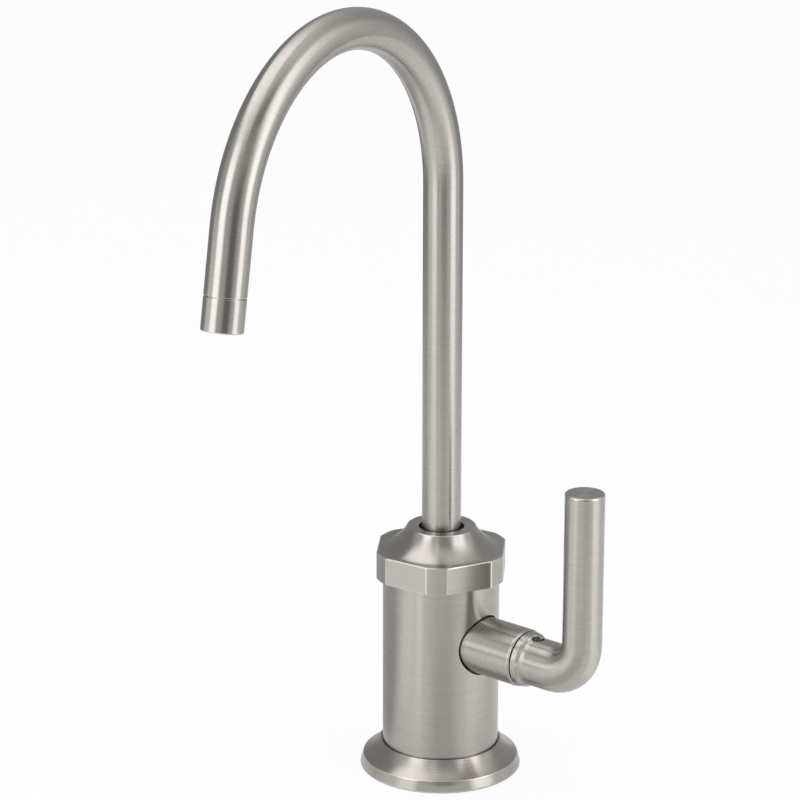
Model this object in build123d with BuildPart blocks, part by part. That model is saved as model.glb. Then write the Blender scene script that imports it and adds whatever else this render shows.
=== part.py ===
from build123d import *
import os
from math import cos, isclose, pi, radians, sin, sqrt

# Cold water dispenser faucet, in millimetres.
# The origin is the centre of the base flange's underside, on the deck. +Z is up, the handle's
# stem points along +X, and the user stands at -Y. The spout swivels about Z, and the lever
# turns a quarter turn about its stem, from upright (shut) towards the user (open).

# Clearances
thread_gap = 0.05
run_gap = 0.05
slip_gap = 0.25
water_film = 0.02

# Deck, shank and what clamps them
deck_thickness = 30.0
shank_radius = 10.45
shank_bore = 5.0
shank_drop = 62.0
shank_engagement = 14.0
rubber_washer_width = 8.55
rubber_washer_thickness = 2.5
metal_washer_width = 7.05
metal_washer_thickness = 2.0
lock_nut_wall = 5.55
lock_nut_height = 8.0
lock_nut_chamfer = 1.2

# Water inlet under the shank
inlet_socket_step = 1.6
inlet_socket_depth = 9.0
inlet_gasket_thickness = 0.8
inlet_gasket_width = 2.6
inlet_hex_step = 2.4
inlet_hex_height = 5.5
inlet_thread_radius = 7.1
inlet_thread_length = 13.0
inlet_bore = 3.2
inlet_cone = 1.5

# Base flange and its gasket
flange_height = 9.0
flange_spread = 6.7
flange_band_height = 3.9
flange_band_draft = 1.1
flange_land = 0.65
flange_cove_depth = 0.3
flange_edge = 0.5
body_seat_height = 6.0
sleeve_seat_depth = 1.0
gasket_margin = 5.15
gasket_width = 6.5
gasket_thickness = 2.2

# Barrel sleeve and valve body
barrel_radius = 19.05
barrel_wall = 1.8
barrel_length = 59.2
body_gap = 0.85
inlet_passage_radius = 4.0
outlet_port_radius = 2.4
outlet_port_margin = 0.85
port_web = 4.1

# Cap nut
nut_overhang = 1.5
nut_corner_drop = 1.45
nut_first_corner = 6.6
nut_band_height = 9.15
nut_neck_height = 7.15
nut_roof_drop = 1.75
nut_collar_width = 3.85
nut_land_width = 1.85
nut_cove_depth = 0.8
nut_cove_lip = 0.2
nut_bore_gap = 1.0
nut_bore_length = 3.5
nut_corner_chamfer = 0.4
nut_bore_chamfer = 0.35

# Spout
tube_radius = 6.35
tube_wall = 1.0
riser_length = 113.7
bend_radius = 58.3
bend_sweep = 169.3
tip_run = 19.6
spout_rest_turn = 8.8

# Swivel joint at the spout's foot
swivel_wall = 3.1
swivel_length = 11.5
swivel_flange_width = 2.7
swivel_flange_thickness = 1.9
swivel_washer_thickness = 0.6
swivel_bearing_thickness = 1.0
swivel_hub_wall = 1.85
swivel_hub_headroom = 1.5
swivel_foot = 2.0
swivel_floor_gap = 1.0
o_ring_section = 1.78
o_ring_groove_width = 2.2
o_ring_pitch = 4.6

# Outlet
outlet_length = 10.4
outlet_spigot_length = 5.0
outlet_spigot_wall = 1.1
outlet_floor = 2.0
outlet_wall = 1.0
outlet_edge = 0.8
outlet_recess = 1.2
seam_width = 0.3
seam_depth = 0.25
aerator_gasket_thickness = 1.2
aerator_gasket_width = 1.65
aerator_wall = 0.7
aerator_lip = 0.8
straightener_setback = 1.7
straightener_hole = 0.42
straightener_pitch = 1.35
screen_thickness = 0.3
screen_hole = 0.75
screen_pitch = 1.1

# Bonnet and cartridge
bonnet_wall = 1.14
bonnet_length = 21.1
bonnet_hole_gap = 0.45
bonnet_end_wall = 3.5
bonnet_edge = 0.25
spot_face_depth = 1.4
cartridge_wall = 0.85
cartridge_thread_step = 1.0
cartridge_thread_length = 5.0
cartridge_hex_step = 0.5
cartridge_hex_length = 4.5
cartridge_neck_wall = 1.2
cartridge_end_wall = 4.15
chamber_gap = 1.1
chamber_depth = 7.5
seal_thickness = 2.0
seal_proud = 0.5
disc_radius = 6.0
disc_thickness = 3.0
disc_port_inner = 1.4
disc_rim = 1.4
disc_port_angle = 76.0
disc_slot_width = 3.0
disc_slot_depth = 1.0
window_length = 1.9
window_width = 6.4

# Cartridge stem
stem_radius = 4.0
stem_barrel_radius = 5.25
stem_head_length = 3.3
stem_barrel_length = 11.0
stem_reach = 9.6
stem_flat_depth = 0.45
stem_ring_section = 1.5
stem_ring_pitch = 4.0
circlip_thickness = 0.9
circlip_width = 1.7
circlip_depth = 0.7
circlip_gap_angle = 80.0

# Lever handle
hub_gap = 0.45
hub_ring_width = 3.05
hub_ring_step = 0.35
hub_ring_taper = 0.22
hub_chamfer_length = 1.5
hub_chamfer_drop = 0.6
hub_step = 1.53
grip_offset = 22.05
grip_radius = 6.35
grip_length = 61.3
grip_edge = 0.6
elbow_radius = 11.1
elbow_stations = 6
set_screw_radius = 2.0
set_screw_recess = 1.6
set_screw_margin = 1.4
set_screw_socket = 2.0
set_screw_socket_depth = 1.6

# Under the deck, from the shank's foot up to the base flange
shank_hole = shank_radius + slip_gap
rubber_washer_bottom = -deck_thickness - rubber_washer_thickness
metal_washer_bottom = rubber_washer_bottom - metal_washer_thickness
lock_nut_bottom = metal_washer_bottom - lock_nut_height
lock_nut_flats = 2 * (shank_radius + lock_nut_wall)
lock_nut_corner = lock_nut_flats / sqrt(3)
inlet_socket_radius = shank_bore + inlet_socket_step
inlet_gasket_bottom = -shank_drop - inlet_gasket_thickness
inlet_hex_bottom = inlet_gasket_bottom - inlet_hex_height
inlet_hex_flats = 2 * (inlet_thread_radius + inlet_hex_step)
inlet_bottom = inlet_hex_bottom - inlet_thread_length
shank_top = body_seat_height + shank_engagement

# Flange, barrel and cap nut
body_radius = barrel_radius - barrel_wall - body_gap
flange_land_outer = barrel_radius + slip_gap + flange_land
flange_radius = flange_land_outer + flange_spread
gasket_radius = flange_radius - gasket_margin
sleeve_seat = flange_height - sleeve_seat_depth
nut_bottom = sleeve_seat + barrel_length
nut_roof = nut_bottom + nut_band_height - nut_roof_drop
nut_shoulder = nut_bottom + nut_band_height
nut_top = nut_shoulder + nut_neck_height
nut_flats = 2 * (barrel_radius + nut_overhang)
nut_corner_radius = nut_flats / 2 + nut_corner_drop
nut_bore_radius = tube_radius + nut_bore_gap

# The swivel joint, from the cap nut's roof down to the socket's floor
tube_bore = tube_radius - tube_wall
swivel_radius = tube_radius + swivel_wall
swivel_flange_radius = swivel_radius + swivel_flange_width
swivel_hub_radius = tube_radius + swivel_hub_wall
socket_radius = swivel_radius + run_gap
bearing_bottom = nut_roof - swivel_bearing_thickness
swivel_flange_top = bearing_bottom - run_gap
swivel_flange_bottom = swivel_flange_top - swivel_flange_thickness
washer_bottom = swivel_flange_bottom - run_gap - swivel_washer_thickness
swivel_bottom = washer_bottom - swivel_length
socket_floor = swivel_bottom - swivel_floor_gap
hub_top = nut_top - nut_bore_length - swivel_hub_headroom
tube_foot = swivel_bottom + swivel_foot
bend_start = nut_top + riser_length
o_ring_radius = socket_radius - water_film - o_ring_section / 2
o_ring_groove_floor = o_ring_radius - o_ring_section / 2 - water_film
upper_o_ring = washer_bottom - o_ring_groove_width

# Radii of the cartridge and of what holds it
housing_bore = disc_radius + run_gap
cartridge_nose_radius = housing_bore + cartridge_wall
chamber_radius = cartridge_nose_radius + chamber_gap
cartridge_thread_radius = chamber_radius + cartridge_thread_step
barrel_bore = stem_barrel_radius + run_gap
cartridge_neck_radius = barrel_bore + cartridge_neck_wall
cartridge_hex_flats = 2 * (cartridge_neck_radius + cartridge_hex_step)
cartridge_hex_corner = cartridge_hex_flats / sqrt(3)
bonnet_radius = cartridge_hex_corner + slip_gap + bonnet_wall
hub_ring_radius = bonnet_radius - hub_ring_step
hub_radius = bonnet_radius - hub_step
disc_port_outer = disc_radius - disc_rim
stem_ring_radius = barrel_bore - water_film - stem_ring_section / 2
stem_groove_floor = stem_ring_radius - stem_ring_section / 2 - water_film
circlip_bore = stem_radius - circlip_depth + run_gap
outlet_port_x = socket_radius - outlet_port_margin - outlet_port_radius

# Places along the handle's axis, from the valve body outwards
handle_height = socket_floor - port_web - chamber_radius
spot_face = body_radius - spot_face_depth
thread_start = spot_face - cartridge_thread_length
chamber_floor = thread_start - chamber_depth
fixed_disc_start = chamber_floor + seal_thickness
moving_disc_start = fixed_disc_start + disc_thickness + water_film
stem_head_start = moving_disc_start + disc_thickness + water_film
stem_barrel_start = stem_head_start + stem_head_length
stem_barrel_end = stem_barrel_start + stem_barrel_length
first_stem_ring = stem_barrel_start + (stem_barrel_length - stem_ring_pitch) / 2
hex_end = spot_face + cartridge_hex_length
neck_end = stem_barrel_end + cartridge_end_wall
circlip_start = neck_end + run_gap
bonnet_end = spot_face + bonnet_length
hub_face = bonnet_end + hub_gap
ring_end = hub_face + hub_ring_width
stem_end = hub_face + stem_reach
grip_x = hub_face + grip_offset
elbow_start = grip_x - elbow_radius
elbow_top = handle_height + elbow_radius
set_screw_x = ring_end + set_screw_margin
set_screw_tip = handle_height + stem_radius - stem_flat_depth + water_film
set_screw_top = handle_height + hub_radius - set_screw_recess

# Planes and axes. A turned piece is drawn as half of its section: on handle_section with x along
# the stem and y outwards from its axis, and on barrel_section with x outwards and y up.
barrel_section = Plane.XZ
handle_section = Plane(origin=(0, 0, handle_height), x_dir=(1, 0, 0), z_dir=(0, -1, 0))
handle_axis = Axis((0, 0, handle_height), (1, 0, 0))
turn = radians(spout_rest_turn)
spout_section = Plane(origin=(0, 0, 0), x_dir=(sin(turn), -cos(turn), 0), z_dir=(-cos(turn), -sin(turn), 0))


def outline(*points):
    """Closed straight-sided outline, as a face of the sketch in hand."""
    Polygon(*points, align=None)


def ring(outer, inner):
    """Flat ring, as a face of the sketch in hand."""
    Circle(outer)
    Circle(inner, mode=Mode.SUBTRACT)


def across_flats(flats):
    """Hexagon of the stated size across its flats."""
    RegularPolygon(flats / 2, 6, major_radius=False)


def handle_plane(x, turned_by=0.0):
    """Plane square to the handle's axis at x, its own x axis turned from the row's Y."""
    return Plane(origin=(x, 0, handle_height), x_dir=(0, 1, 0), z_dir=(1, 0, 0)).rotated((0, 0, turned_by))


def cove(start, end, depth):
    """Hollow arc between two points of an outline, sunk by depth below the straight line."""
    run = Vector(*end) - Vector(*start)
    square = Vector(-run.Y, run.X).normalized()
    middle = (Vector(*start) + Vector(*end)) / 2 + square * depth
    ThreePointArc(start, middle, end)


def circles_of(part, radius):
    """The part's round edges of one radius."""
    return part.edges().filter_by(GeomType.CIRCLE).filter_by(lambda edge: isclose(edge.radius, radius))


def port_sector(inner, outer, angle):
    """Two opposite sectors of a ring, the water ports of a ceramic disc."""
    half = radians(angle / 2)
    for side in (1, -1):
        with BuildLine() as edge:
            x, y = side * cos(half), sin(half)
            out = Line((inner * x, -inner * y), (outer * x, -outer * y))
            rim = ThreePointArc(out @ 1, (side * outer, 0), (outer * x, outer * y))
            back = Line(rim @ 1, (inner * x, inner * y))
            ThreePointArc(back @ 1, (side * inner, 0), out @ 0)
        make_face(edge.edges())


# Base flange: a turned ring with a steep band at its rim and a cove up to the barrel. Its seat
# takes the valve body, the ledge above takes the barrel sleeve, the groove below the gasket.
flange_cove_start = (flange_radius - flange_band_draft, flange_band_height)
with BuildPart() as base_flange:
    with BuildSketch(barrel_section):
        with BuildLine():
            Polyline(
                (flange_land_outer, flange_height),
                (barrel_radius + slip_gap, flange_height),
                (barrel_radius + slip_gap, sleeve_seat),
                (body_radius + slip_gap, sleeve_seat),
                (body_radius + slip_gap, body_seat_height),
                (shank_hole, body_seat_height),
                (shank_hole, 0),
                (gasket_radius - gasket_width, 0),
                (gasket_radius - gasket_width, gasket_thickness),
                (gasket_radius, gasket_thickness),
                (gasket_radius, 0),
                (flange_radius, 0),
                flange_cove_start,
            )
            cove(flange_cove_start, (flange_land_outer, flange_height), flange_cove_depth)
        make_face()
    revolve(axis=Axis.Z)
    rim_edges = circles_of(base_flange, flange_radius) + circles_of(base_flange, flange_cove_start[0])
    fillet(rim_edges, flange_edge)
base_flange.part.label = "base_flange"

with BuildPart() as base_gasket:
    with BuildSketch():
        ring(gasket_radius - slip_gap, gasket_radius - gasket_width + slip_gap)
    extrude(amount=gasket_thickness)
base_gasket.part.label = "base_gasket"

# Barrel sleeve: plain tube between the flange's ledge and the cap nut, holed for the bonnet.
with BuildPart() as barrel_sleeve:
    with BuildSketch(Plane.XY.offset(sleeve_seat)):
        ring(barrel_radius, barrel_radius - barrel_wall)
    extrude(amount=barrel_length)
    with BuildSketch(handle_plane(0)):
        Circle(bonnet_radius + bonnet_hole_gap)
    extrude(amount=2 * barrel_radius, mode=Mode.SUBTRACT)
barrel_sleeve.part.label = "barrel_sleeve"

# Valve body: brass column with the shank's socket below, the cartridge's chamber at the side
# and the spout's socket on top, joined by the water passages.
with BuildPart() as valve_body:
    with BuildSketch(Plane.XY.offset(body_seat_height)):
        Circle(body_radius)
    extrude(amount=nut_roof - body_seat_height)
    with BuildSketch(Plane.XY.offset(body_seat_height)):
        Circle(shank_radius + thread_gap)
    extrude(amount=shank_engagement, mode=Mode.SUBTRACT)
    with BuildSketch(Plane.XY.offset(shank_top)):
        Circle(inlet_passage_radius)
    extrude(amount=handle_height - shank_top, mode=Mode.SUBTRACT)
    with BuildSketch(handle_plane(0)):
        Circle(inlet_passage_radius)
    extrude(amount=chamber_floor, mode=Mode.SUBTRACT)
    with BuildSketch(handle_plane(chamber_floor)):
        Circle(chamber_radius)
    extrude(amount=chamber_depth, mode=Mode.SUBTRACT)
    with BuildSketch(handle_plane(thread_start)):
        Circle(cartridge_thread_radius + thread_gap)
    extrude(amount=barrel_radius, mode=Mode.SUBTRACT)
    with BuildSketch(handle_plane(spot_face)):
        Circle(bonnet_radius + slip_gap)
    extrude(amount=barrel_radius, mode=Mode.SUBTRACT)
    with BuildSketch(Plane.XY.offset(handle_height)):
        with Locations((outlet_port_x, 0)):
            Circle(outlet_port_radius)
    extrude(amount=socket_floor - handle_height, mode=Mode.SUBTRACT)
    with BuildSketch(Plane.XY.offset(socket_floor)):
        Circle(socket_radius)
    extrude(amount=nut_roof - socket_floor, mode=Mode.SUBTRACT)
    with BuildSketch(Plane.XY.offset(washer_bottom)):
        Circle(swivel_flange_radius + slip_gap)
    extrude(amount=nut_roof - washer_bottom, mode=Mode.SUBTRACT)
valve_body.part.label = "valve_body"

# Mounting shank: threaded tube screwed into the valve body from below.
with BuildPart() as mounting_shank:
    with BuildSketch(barrel_section):
        outline(
            (inlet_socket_radius, -shank_drop),
            (shank_radius, -shank_drop),
            (shank_radius, shank_top),
            (shank_bore, shank_top),
            (shank_bore, inlet_socket_depth - shank_drop),
            (inlet_socket_radius, inlet_socket_depth - shank_drop),
        )
    revolve(axis=Axis.Z)
mounting_shank.part.label = "mounting_shank"

with BuildPart() as rubber_washer:
    with BuildSketch(Plane.XY.offset(rubber_washer_bottom)):
        ring(shank_hole + rubber_washer_width, shank_hole)
    extrude(amount=rubber_washer_thickness)
rubber_washer.part.label = "rubber_washer"

with BuildPart() as metal_washer:
    with BuildSketch(Plane.XY.offset(metal_washer_bottom)):
        ring(shank_hole + metal_washer_width, shank_hole)
    extrude(amount=metal_washer_thickness)
metal_washer.part.label = "metal_washer"

# Lock nut: hexagon with its corners turned off on both faces.
with BuildPart() as lock_nut:
    with BuildSketch(Plane.XY.offset(lock_nut_bottom)):
        across_flats(lock_nut_flats)
        Circle(shank_radius + thread_gap, mode=Mode.SUBTRACT)
    extrude(amount=lock_nut_height)
    with BuildSketch(barrel_section):
        outline(
            (0, lock_nut_bottom),
            (lock_nut_flats / 2, lock_nut_bottom),
            (lock_nut_corner, lock_nut_bottom + lock_nut_chamfer),
            (lock_nut_corner, metal_washer_bottom - lock_nut_chamfer),
            (lock_nut_flats / 2, metal_washer_bottom),
            (0, metal_washer_bottom),
        )
    revolve(axis=Axis.Z, mode=Mode.INTERSECT)
lock_nut.part.label = "lock_nut"

with BuildPart() as inlet_gasket:
    with BuildSketch(Plane.XY.offset(inlet_gasket_bottom)):
        ring(inlet_socket_radius + inlet_gasket_width, inlet_socket_radius)
    extrude(amount=inlet_gasket_thickness)
inlet_gasket.part.label = "inlet_gasket"

# Inlet fitting: hexagon with a nipple into the shank above and a compression thread below.
with BuildPart() as inlet_fitting:
    with BuildSketch(Plane.XY.offset(inlet_hex_bottom)):
        across_flats(inlet_hex_flats)
    extrude(amount=inlet_hex_height)
    with BuildSketch(Plane.XY.offset(inlet_gasket_bottom)):
        Circle(inlet_socket_radius - thread_gap)
    extrude(amount=inlet_socket_depth)
    with BuildSketch(Plane.XY.offset(inlet_bottom)):
        Circle(inlet_thread_radius)
    extrude(amount=inlet_thread_length)
    with BuildSketch(barrel_section):
        outline(
            (0, inlet_bottom),
            (inlet_bore + inlet_cone, inlet_bottom),
            (inlet_bore, inlet_bottom + 2 * inlet_cone),
            (inlet_bore, inlet_gasket_bottom + inlet_socket_depth),
            (0, inlet_gasket_bottom + inlet_socket_depth),
        )
    revolve(axis=Axis.Z, mode=Mode.SUBTRACT)
inlet_fitting.part.label = "inlet_fitting"

# Cap nut: a round blank with six flats milled on its band, a cove up to a flat collar, an inside
# thread over the valve body and a roof that holds the spout's foot down.
nut_collar_radius = nut_bore_radius + nut_collar_width
nut_cove_top = (nut_collar_radius, nut_top - nut_cove_lip)
nut_cove_bottom = (nut_flats / 2 - nut_land_width, nut_shoulder)
with BuildPart() as cap_nut:
    with BuildSketch(barrel_section):
        with BuildLine():
            cove(nut_cove_bottom, nut_cove_top, nut_cove_depth)
            Polyline(
                nut_cove_top,
                (nut_collar_radius - nut_cove_lip, nut_top),
                (nut_bore_radius + nut_bore_chamfer, nut_top),
                (nut_bore_radius, nut_top - nut_bore_chamfer),
                (nut_bore_radius, nut_top - nut_bore_length),
                (swivel_hub_radius + slip_gap, nut_top - nut_bore_length),
                (swivel_hub_radius + slip_gap, nut_roof),
                (body_radius + thread_gap, nut_roof),
                (body_radius + thread_gap, nut_bottom),
                (nut_flats / 2, nut_bottom),
                (nut_corner_radius, nut_bottom + nut_corner_chamfer),
                (nut_corner_radius, nut_shoulder),
                nut_cove_bottom,
            )
        make_face()
    revolve(axis=Axis.Z)
    with BuildSketch(Plane.XY.offset(nut_bottom)):
        RegularPolygon(nut_flats / 2, 6, major_radius=False, rotation=nut_first_corner)
    extrude(amount=nut_top - nut_bottom, mode=Mode.INTERSECT)
cap_nut.part.label = "cap_nut"

# Swivel joint: the washer under the spout's flange and the bearing ring over it.
with BuildPart() as swivel_washer:
    with BuildSketch(Plane.XY.offset(washer_bottom)):
        ring(swivel_flange_radius, socket_radius)
    extrude(amount=swivel_washer_thickness)
swivel_washer.part.label = "swivel_washer"

with BuildPart() as swivel_bearing:
    with BuildSketch(Plane.XY.offset(bearing_bottom)):
        ring(swivel_flange_radius, swivel_hub_radius + slip_gap)
    extrude(amount=swivel_bearing_thickness)
swivel_bearing.part.label = "swivel_bearing"

# Spout foot: the turned socket that is brazed on the tube, with its flange and O-ring grooves.
with BuildPart() as spout_foot:
    with BuildSketch(barrel_section):
        outline(
            (tube_bore, swivel_bottom),
            (swivel_radius, swivel_bottom),
            (swivel_radius, swivel_flange_bottom),
            (swivel_flange_radius, swivel_flange_bottom),
            (swivel_flange_radius, swivel_flange_top),
            (swivel_hub_radius, swivel_flange_top),
            (swivel_hub_radius, hub_top),
            (tube_radius, hub_top),
            (tube_radius, tube_foot),
            (tube_bore, tube_foot),
        )
    revolve(axis=Axis.Z)
    for groove in (upper_o_ring, upper_o_ring - o_ring_pitch):
        with BuildSketch(Plane.XY.offset(groove - o_ring_groove_width / 2)):
            ring(swivel_radius + slip_gap, o_ring_groove_floor)
        extrude(amount=o_ring_groove_width, mode=Mode.SUBTRACT)
spout_foot.part.label = "spout_foot"

with BuildPart() as spout_o_rings:
    with BuildSketch(barrel_section):
        with Locations((o_ring_radius, upper_o_ring), (o_ring_radius, upper_o_ring - o_ring_pitch)):
            Circle(o_ring_section / 2)
    revolve(axis=Axis.Z)
spout_o_rings.part.label = "spout_o_rings"

# Spout tube: riser, gooseneck bend and the straight run to the outlet.
with BuildLine(spout_section) as spout_path:
    riser = Line((0, tube_foot), (0, bend_start))
    bend = JernArc(riser @ 1, riser % 1, bend_radius, -bend_sweep)
    PolarLine(bend @ 1, tip_run, direction=bend % 1)
with BuildPart() as spout_tube:
    with BuildSketch(Plane.XY.offset(tube_foot)):
        ring(tube_radius, tube_bore)
    sweep(path=spout_path.line)
spout_tube.part.label = "spout_tube"

# Outlet: collar with its spigot in the tube, then the aerator that screws into the collar. Their
# sections are drawn with x outwards and y along the flow, from the end of the tube.
tip = spout_path.line @ 1
flow = spout_path.line % 1
outlet_axis = Axis(tip, flow)
outlet_section = Plane(origin=tip, x_dir=spout_section.z_dir, z_dir=spout_section.z_dir.cross(flow))
spigot_radius = tube_bore - thread_gap
cavity_radius = tube_radius - outlet_wall
aerator_radius = cavity_radius - thread_gap
aerator_bore = aerator_radius - aerator_wall
gasket_end = outlet_floor + aerator_gasket_thickness
aerator_end = outlet_length - outlet_recess
screen_end = aerator_end - aerator_lip
straightener_end = screen_end - screen_thickness


def across_flow(distance):
    """Plane square to the water's flow, at a distance beyond the end of the tube."""
    return Plane(origin=tip, x_dir=spout_section.z_dir, z_dir=flow).offset(distance)


with BuildPart() as outlet_collar:
    with BuildSketch(outlet_section):
        outline(
            (spigot_radius - outlet_spigot_wall, -outlet_spigot_length),
            (spigot_radius, -outlet_spigot_length),
            (spigot_radius, 0),
            (tube_radius - seam_depth, 0),
            (tube_radius - seam_depth, seam_width),
            (tube_radius, seam_width),
            (tube_radius, outlet_length),
            (cavity_radius, outlet_length),
            (cavity_radius, outlet_floor),
            (spigot_radius - outlet_spigot_wall, outlet_floor),
        )
    revolve(axis=outlet_axis)
    mouth = outlet_collar.edges().filter_by(GeomType.CIRCLE).sort_by(outlet_axis)[-2:]
    fillet(mouth.sort_by(SortBy.RADIUS)[-1:], outlet_edge)
outlet_collar.part.label = "outlet_collar"

with BuildPart() as aerator_gasket:
    with BuildSketch(across_flow(outlet_floor)):
        ring(aerator_radius, aerator_radius - aerator_gasket_width)
    extrude(amount=aerator_gasket_thickness)
aerator_gasket.part.label = "aerator_gasket"

# Aerator housing: plastic cup open upstream, its lip below carrying the screen.
with BuildPart() as aerator_housing:
    with BuildSketch(outlet_section):
        outline(
            (aerator_bore, gasket_end),
            (aerator_radius, gasket_end),
            (aerator_radius, aerator_end),
            (aerator_bore - aerator_lip, aerator_end),
            (aerator_bore - aerator_lip, screen_end),
            (aerator_bore, screen_end),
        )
    revolve(axis=outlet_axis)
aerator_housing.part.label = "aerator_housing"

# Flow straightener: plastic disc drilled on a triangular grid.
hole_reach = aerator_bore - 2 * straightener_hole
row_pitch = straightener_pitch * sqrt(3) / 2
row_count = int(hole_reach / row_pitch)
column_count = int(hole_reach / straightener_pitch) + 1
with BuildPart() as flow_straightener:
    with BuildSketch(across_flow(gasket_end + straightener_setback)):
        Circle(aerator_bore - thread_gap)
        for row in range(-row_count, row_count + 1):
            for column in range(-column_count, column_count + 1):
                x, y = (column + row % 2 / 2) * straightener_pitch, row * row_pitch
                if x * x + y * y < hole_reach * hole_reach:
                    with Locations((x, y)):
                        Circle(straightener_hole, mode=Mode.SUBTRACT)
    extrude(amount=straightener_end - gasket_end - straightener_setback)
flow_straightener.part.label = "flow_straightener"

# Aerator screen: square mesh on the housing's lip.
screen_reach = aerator_bore - aerator_lip - screen_hole / 2
screen_count = int(screen_reach / screen_pitch)
with BuildPart() as aerator_screen:
    with BuildSketch(across_flow(straightener_end)):
        Circle(aerator_bore - thread_gap)
        for row in range(-screen_count, screen_count + 1):
            for column in range(-screen_count, screen_count + 1):
                x, y = column * screen_pitch, row * screen_pitch
                if x * x + y * y < screen_reach * screen_reach:
                    with Locations((x, y)):
                        Rectangle(screen_hole, screen_hole, mode=Mode.SUBTRACT)
    extrude(amount=screen_thickness)
aerator_screen.part.label = "aerator_screen"

# Bonnet: the smooth cover through the barrel's hole, screwed on the cartridge's neck.
with BuildPart() as bonnet:
    with BuildSketch(handle_section):
        outline(
            (spot_face, cartridge_hex_corner + slip_gap),
            (spot_face, bonnet_radius),
            (bonnet_end, bonnet_radius),
            (bonnet_end, stem_radius + slip_gap),
            (bonnet_end - bonnet_end_wall, stem_radius + slip_gap),
            (bonnet_end - bonnet_end_wall, cartridge_neck_radius + thread_gap),
            (hex_end, cartridge_neck_radius + thread_gap),
            (hex_end, cartridge_hex_corner + slip_gap),
        )
    revolve(axis=handle_axis)
    end_circles = bonnet.edges().filter_by(GeomType.CIRCLE).group_by(Axis.X)[-1]
    chamfer(end_circles.sort_by(SortBy.RADIUS)[-1:], bonnet_edge)
bonnet.part.label = "bonnet"

# Cartridge housing: nose with its two water windows in the chamber, threaded collar in the
# valve body, hexagon for the wrench and the neck that carries the bonnet.
with BuildPart() as cartridge_housing:
    with BuildSketch(handle_section):
        outline(
            (chamber_floor + seal_proud, housing_bore),
            (chamber_floor + seal_proud, cartridge_nose_radius),
            (thread_start, cartridge_nose_radius),
            (thread_start, cartridge_thread_radius),
            (spot_face, cartridge_thread_radius),
            (spot_face, cartridge_neck_radius),
            (neck_end, cartridge_neck_radius),
            (neck_end, stem_radius + run_gap),
            (stem_barrel_end + run_gap, stem_radius + run_gap),
            (stem_barrel_end + run_gap, barrel_bore),
            (stem_barrel_start, barrel_bore),
            (stem_barrel_start, housing_bore),
        )
    revolve(axis=handle_axis)
    with BuildSketch(handle_plane(spot_face)):
        across_flats(cartridge_hex_flats)
        Circle(cartridge_neck_radius, mode=Mode.SUBTRACT)
    extrude(amount=cartridge_hex_length)
    with BuildSketch(handle_plane(thread_start - window_length)):
        Rectangle(window_width, 2 * chamber_radius)
    extrude(amount=window_length, mode=Mode.SUBTRACT)
cartridge_housing.part.label = "cartridge_housing"

with BuildPart() as cartridge_seal:
    with BuildSketch(handle_plane(chamber_floor)):
        ring(disc_radius, disc_port_outer)
    extrude(amount=seal_thickness)
cartridge_seal.part.label = "cartridge_seal"

with BuildPart() as fixed_disc:
    with BuildSketch(handle_plane(fixed_disc_start)):
        Circle(disc_radius)
    extrude(amount=disc_thickness)
    with BuildSketch(handle_plane(fixed_disc_start, 90)):
        port_sector(disc_port_inner, disc_port_outer, disc_port_angle)
    extrude(amount=disc_thickness, mode=Mode.SUBTRACT)
fixed_disc.part.label = "fixed_disc"

# Moving disc: a quarter turn from the fixed one when the faucet is shut, with its ports open at
# the rim and a slot at the back for the stem's tongue.
with BuildPart() as moving_disc:
    with BuildSketch(handle_plane(moving_disc_start)):
        Circle(disc_radius - run_gap)
    extrude(amount=disc_thickness)
    with BuildSketch(handle_plane(moving_disc_start)):
        port_sector(disc_port_inner, disc_radius + run_gap, disc_port_angle)
    extrude(amount=disc_thickness - disc_slot_depth - water_film, mode=Mode.SUBTRACT)
    with BuildSketch(handle_plane(moving_disc_start + disc_thickness - disc_slot_depth)):
        Rectangle(disc_slot_width, 2 * disc_radius)
    extrude(amount=disc_slot_depth, mode=Mode.SUBTRACT)
moving_disc.part.label = "moving_disc"

# Cartridge stem: head with the tongue, grooved barrel and the end that carries the lever.
with BuildPart() as cartridge_stem:
    with BuildSketch(handle_section):
        outline(
            (stem_head_start, 0),
            (stem_head_start, disc_radius - run_gap),
            (stem_barrel_start - run_gap, disc_radius - run_gap),
            (stem_barrel_start - run_gap, stem_barrel_radius),
            (stem_barrel_end, stem_barrel_radius),
            (stem_barrel_end, stem_radius),
            (stem_end, stem_radius),
            (stem_end, 0),
        )
    revolve(axis=handle_axis)
    with BuildSketch(handle_plane(stem_head_start - disc_slot_depth)):
        Rectangle(disc_slot_width - 2 * run_gap, 2 * disc_port_outer)
    extrude(amount=disc_slot_depth)
    for groove in (first_stem_ring, first_stem_ring + stem_ring_pitch):
        with BuildSketch(handle_plane(groove - stem_ring_section / 2 - slip_gap)):
            ring(stem_barrel_radius + slip_gap, stem_groove_floor)
        extrude(amount=stem_ring_section + 2 * slip_gap, mode=Mode.SUBTRACT)
    with BuildSketch(handle_plane(circlip_start)):
        ring(stem_radius + slip_gap, stem_radius - circlip_depth)
    extrude(amount=circlip_thickness + run_gap, mode=Mode.SUBTRACT)
    with BuildSketch(handle_plane(stem_end - stem_reach)):
        with Locations((0, stem_radius)):
            Rectangle(2 * stem_radius, 2 * stem_flat_depth)
    extrude(amount=stem_reach, mode=Mode.SUBTRACT)
cartridge_stem.part.label = "cartridge_stem"

with BuildPart() as stem_o_rings:
    with BuildSketch(handle_section):
        with Locations(*[(first_stem_ring + step, stem_ring_radius) for step in (0, stem_ring_pitch)]):
            Circle(stem_ring_section / 2)
    revolve(axis=handle_axis)
stem_o_rings.part.label = "stem_o_rings"

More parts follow.
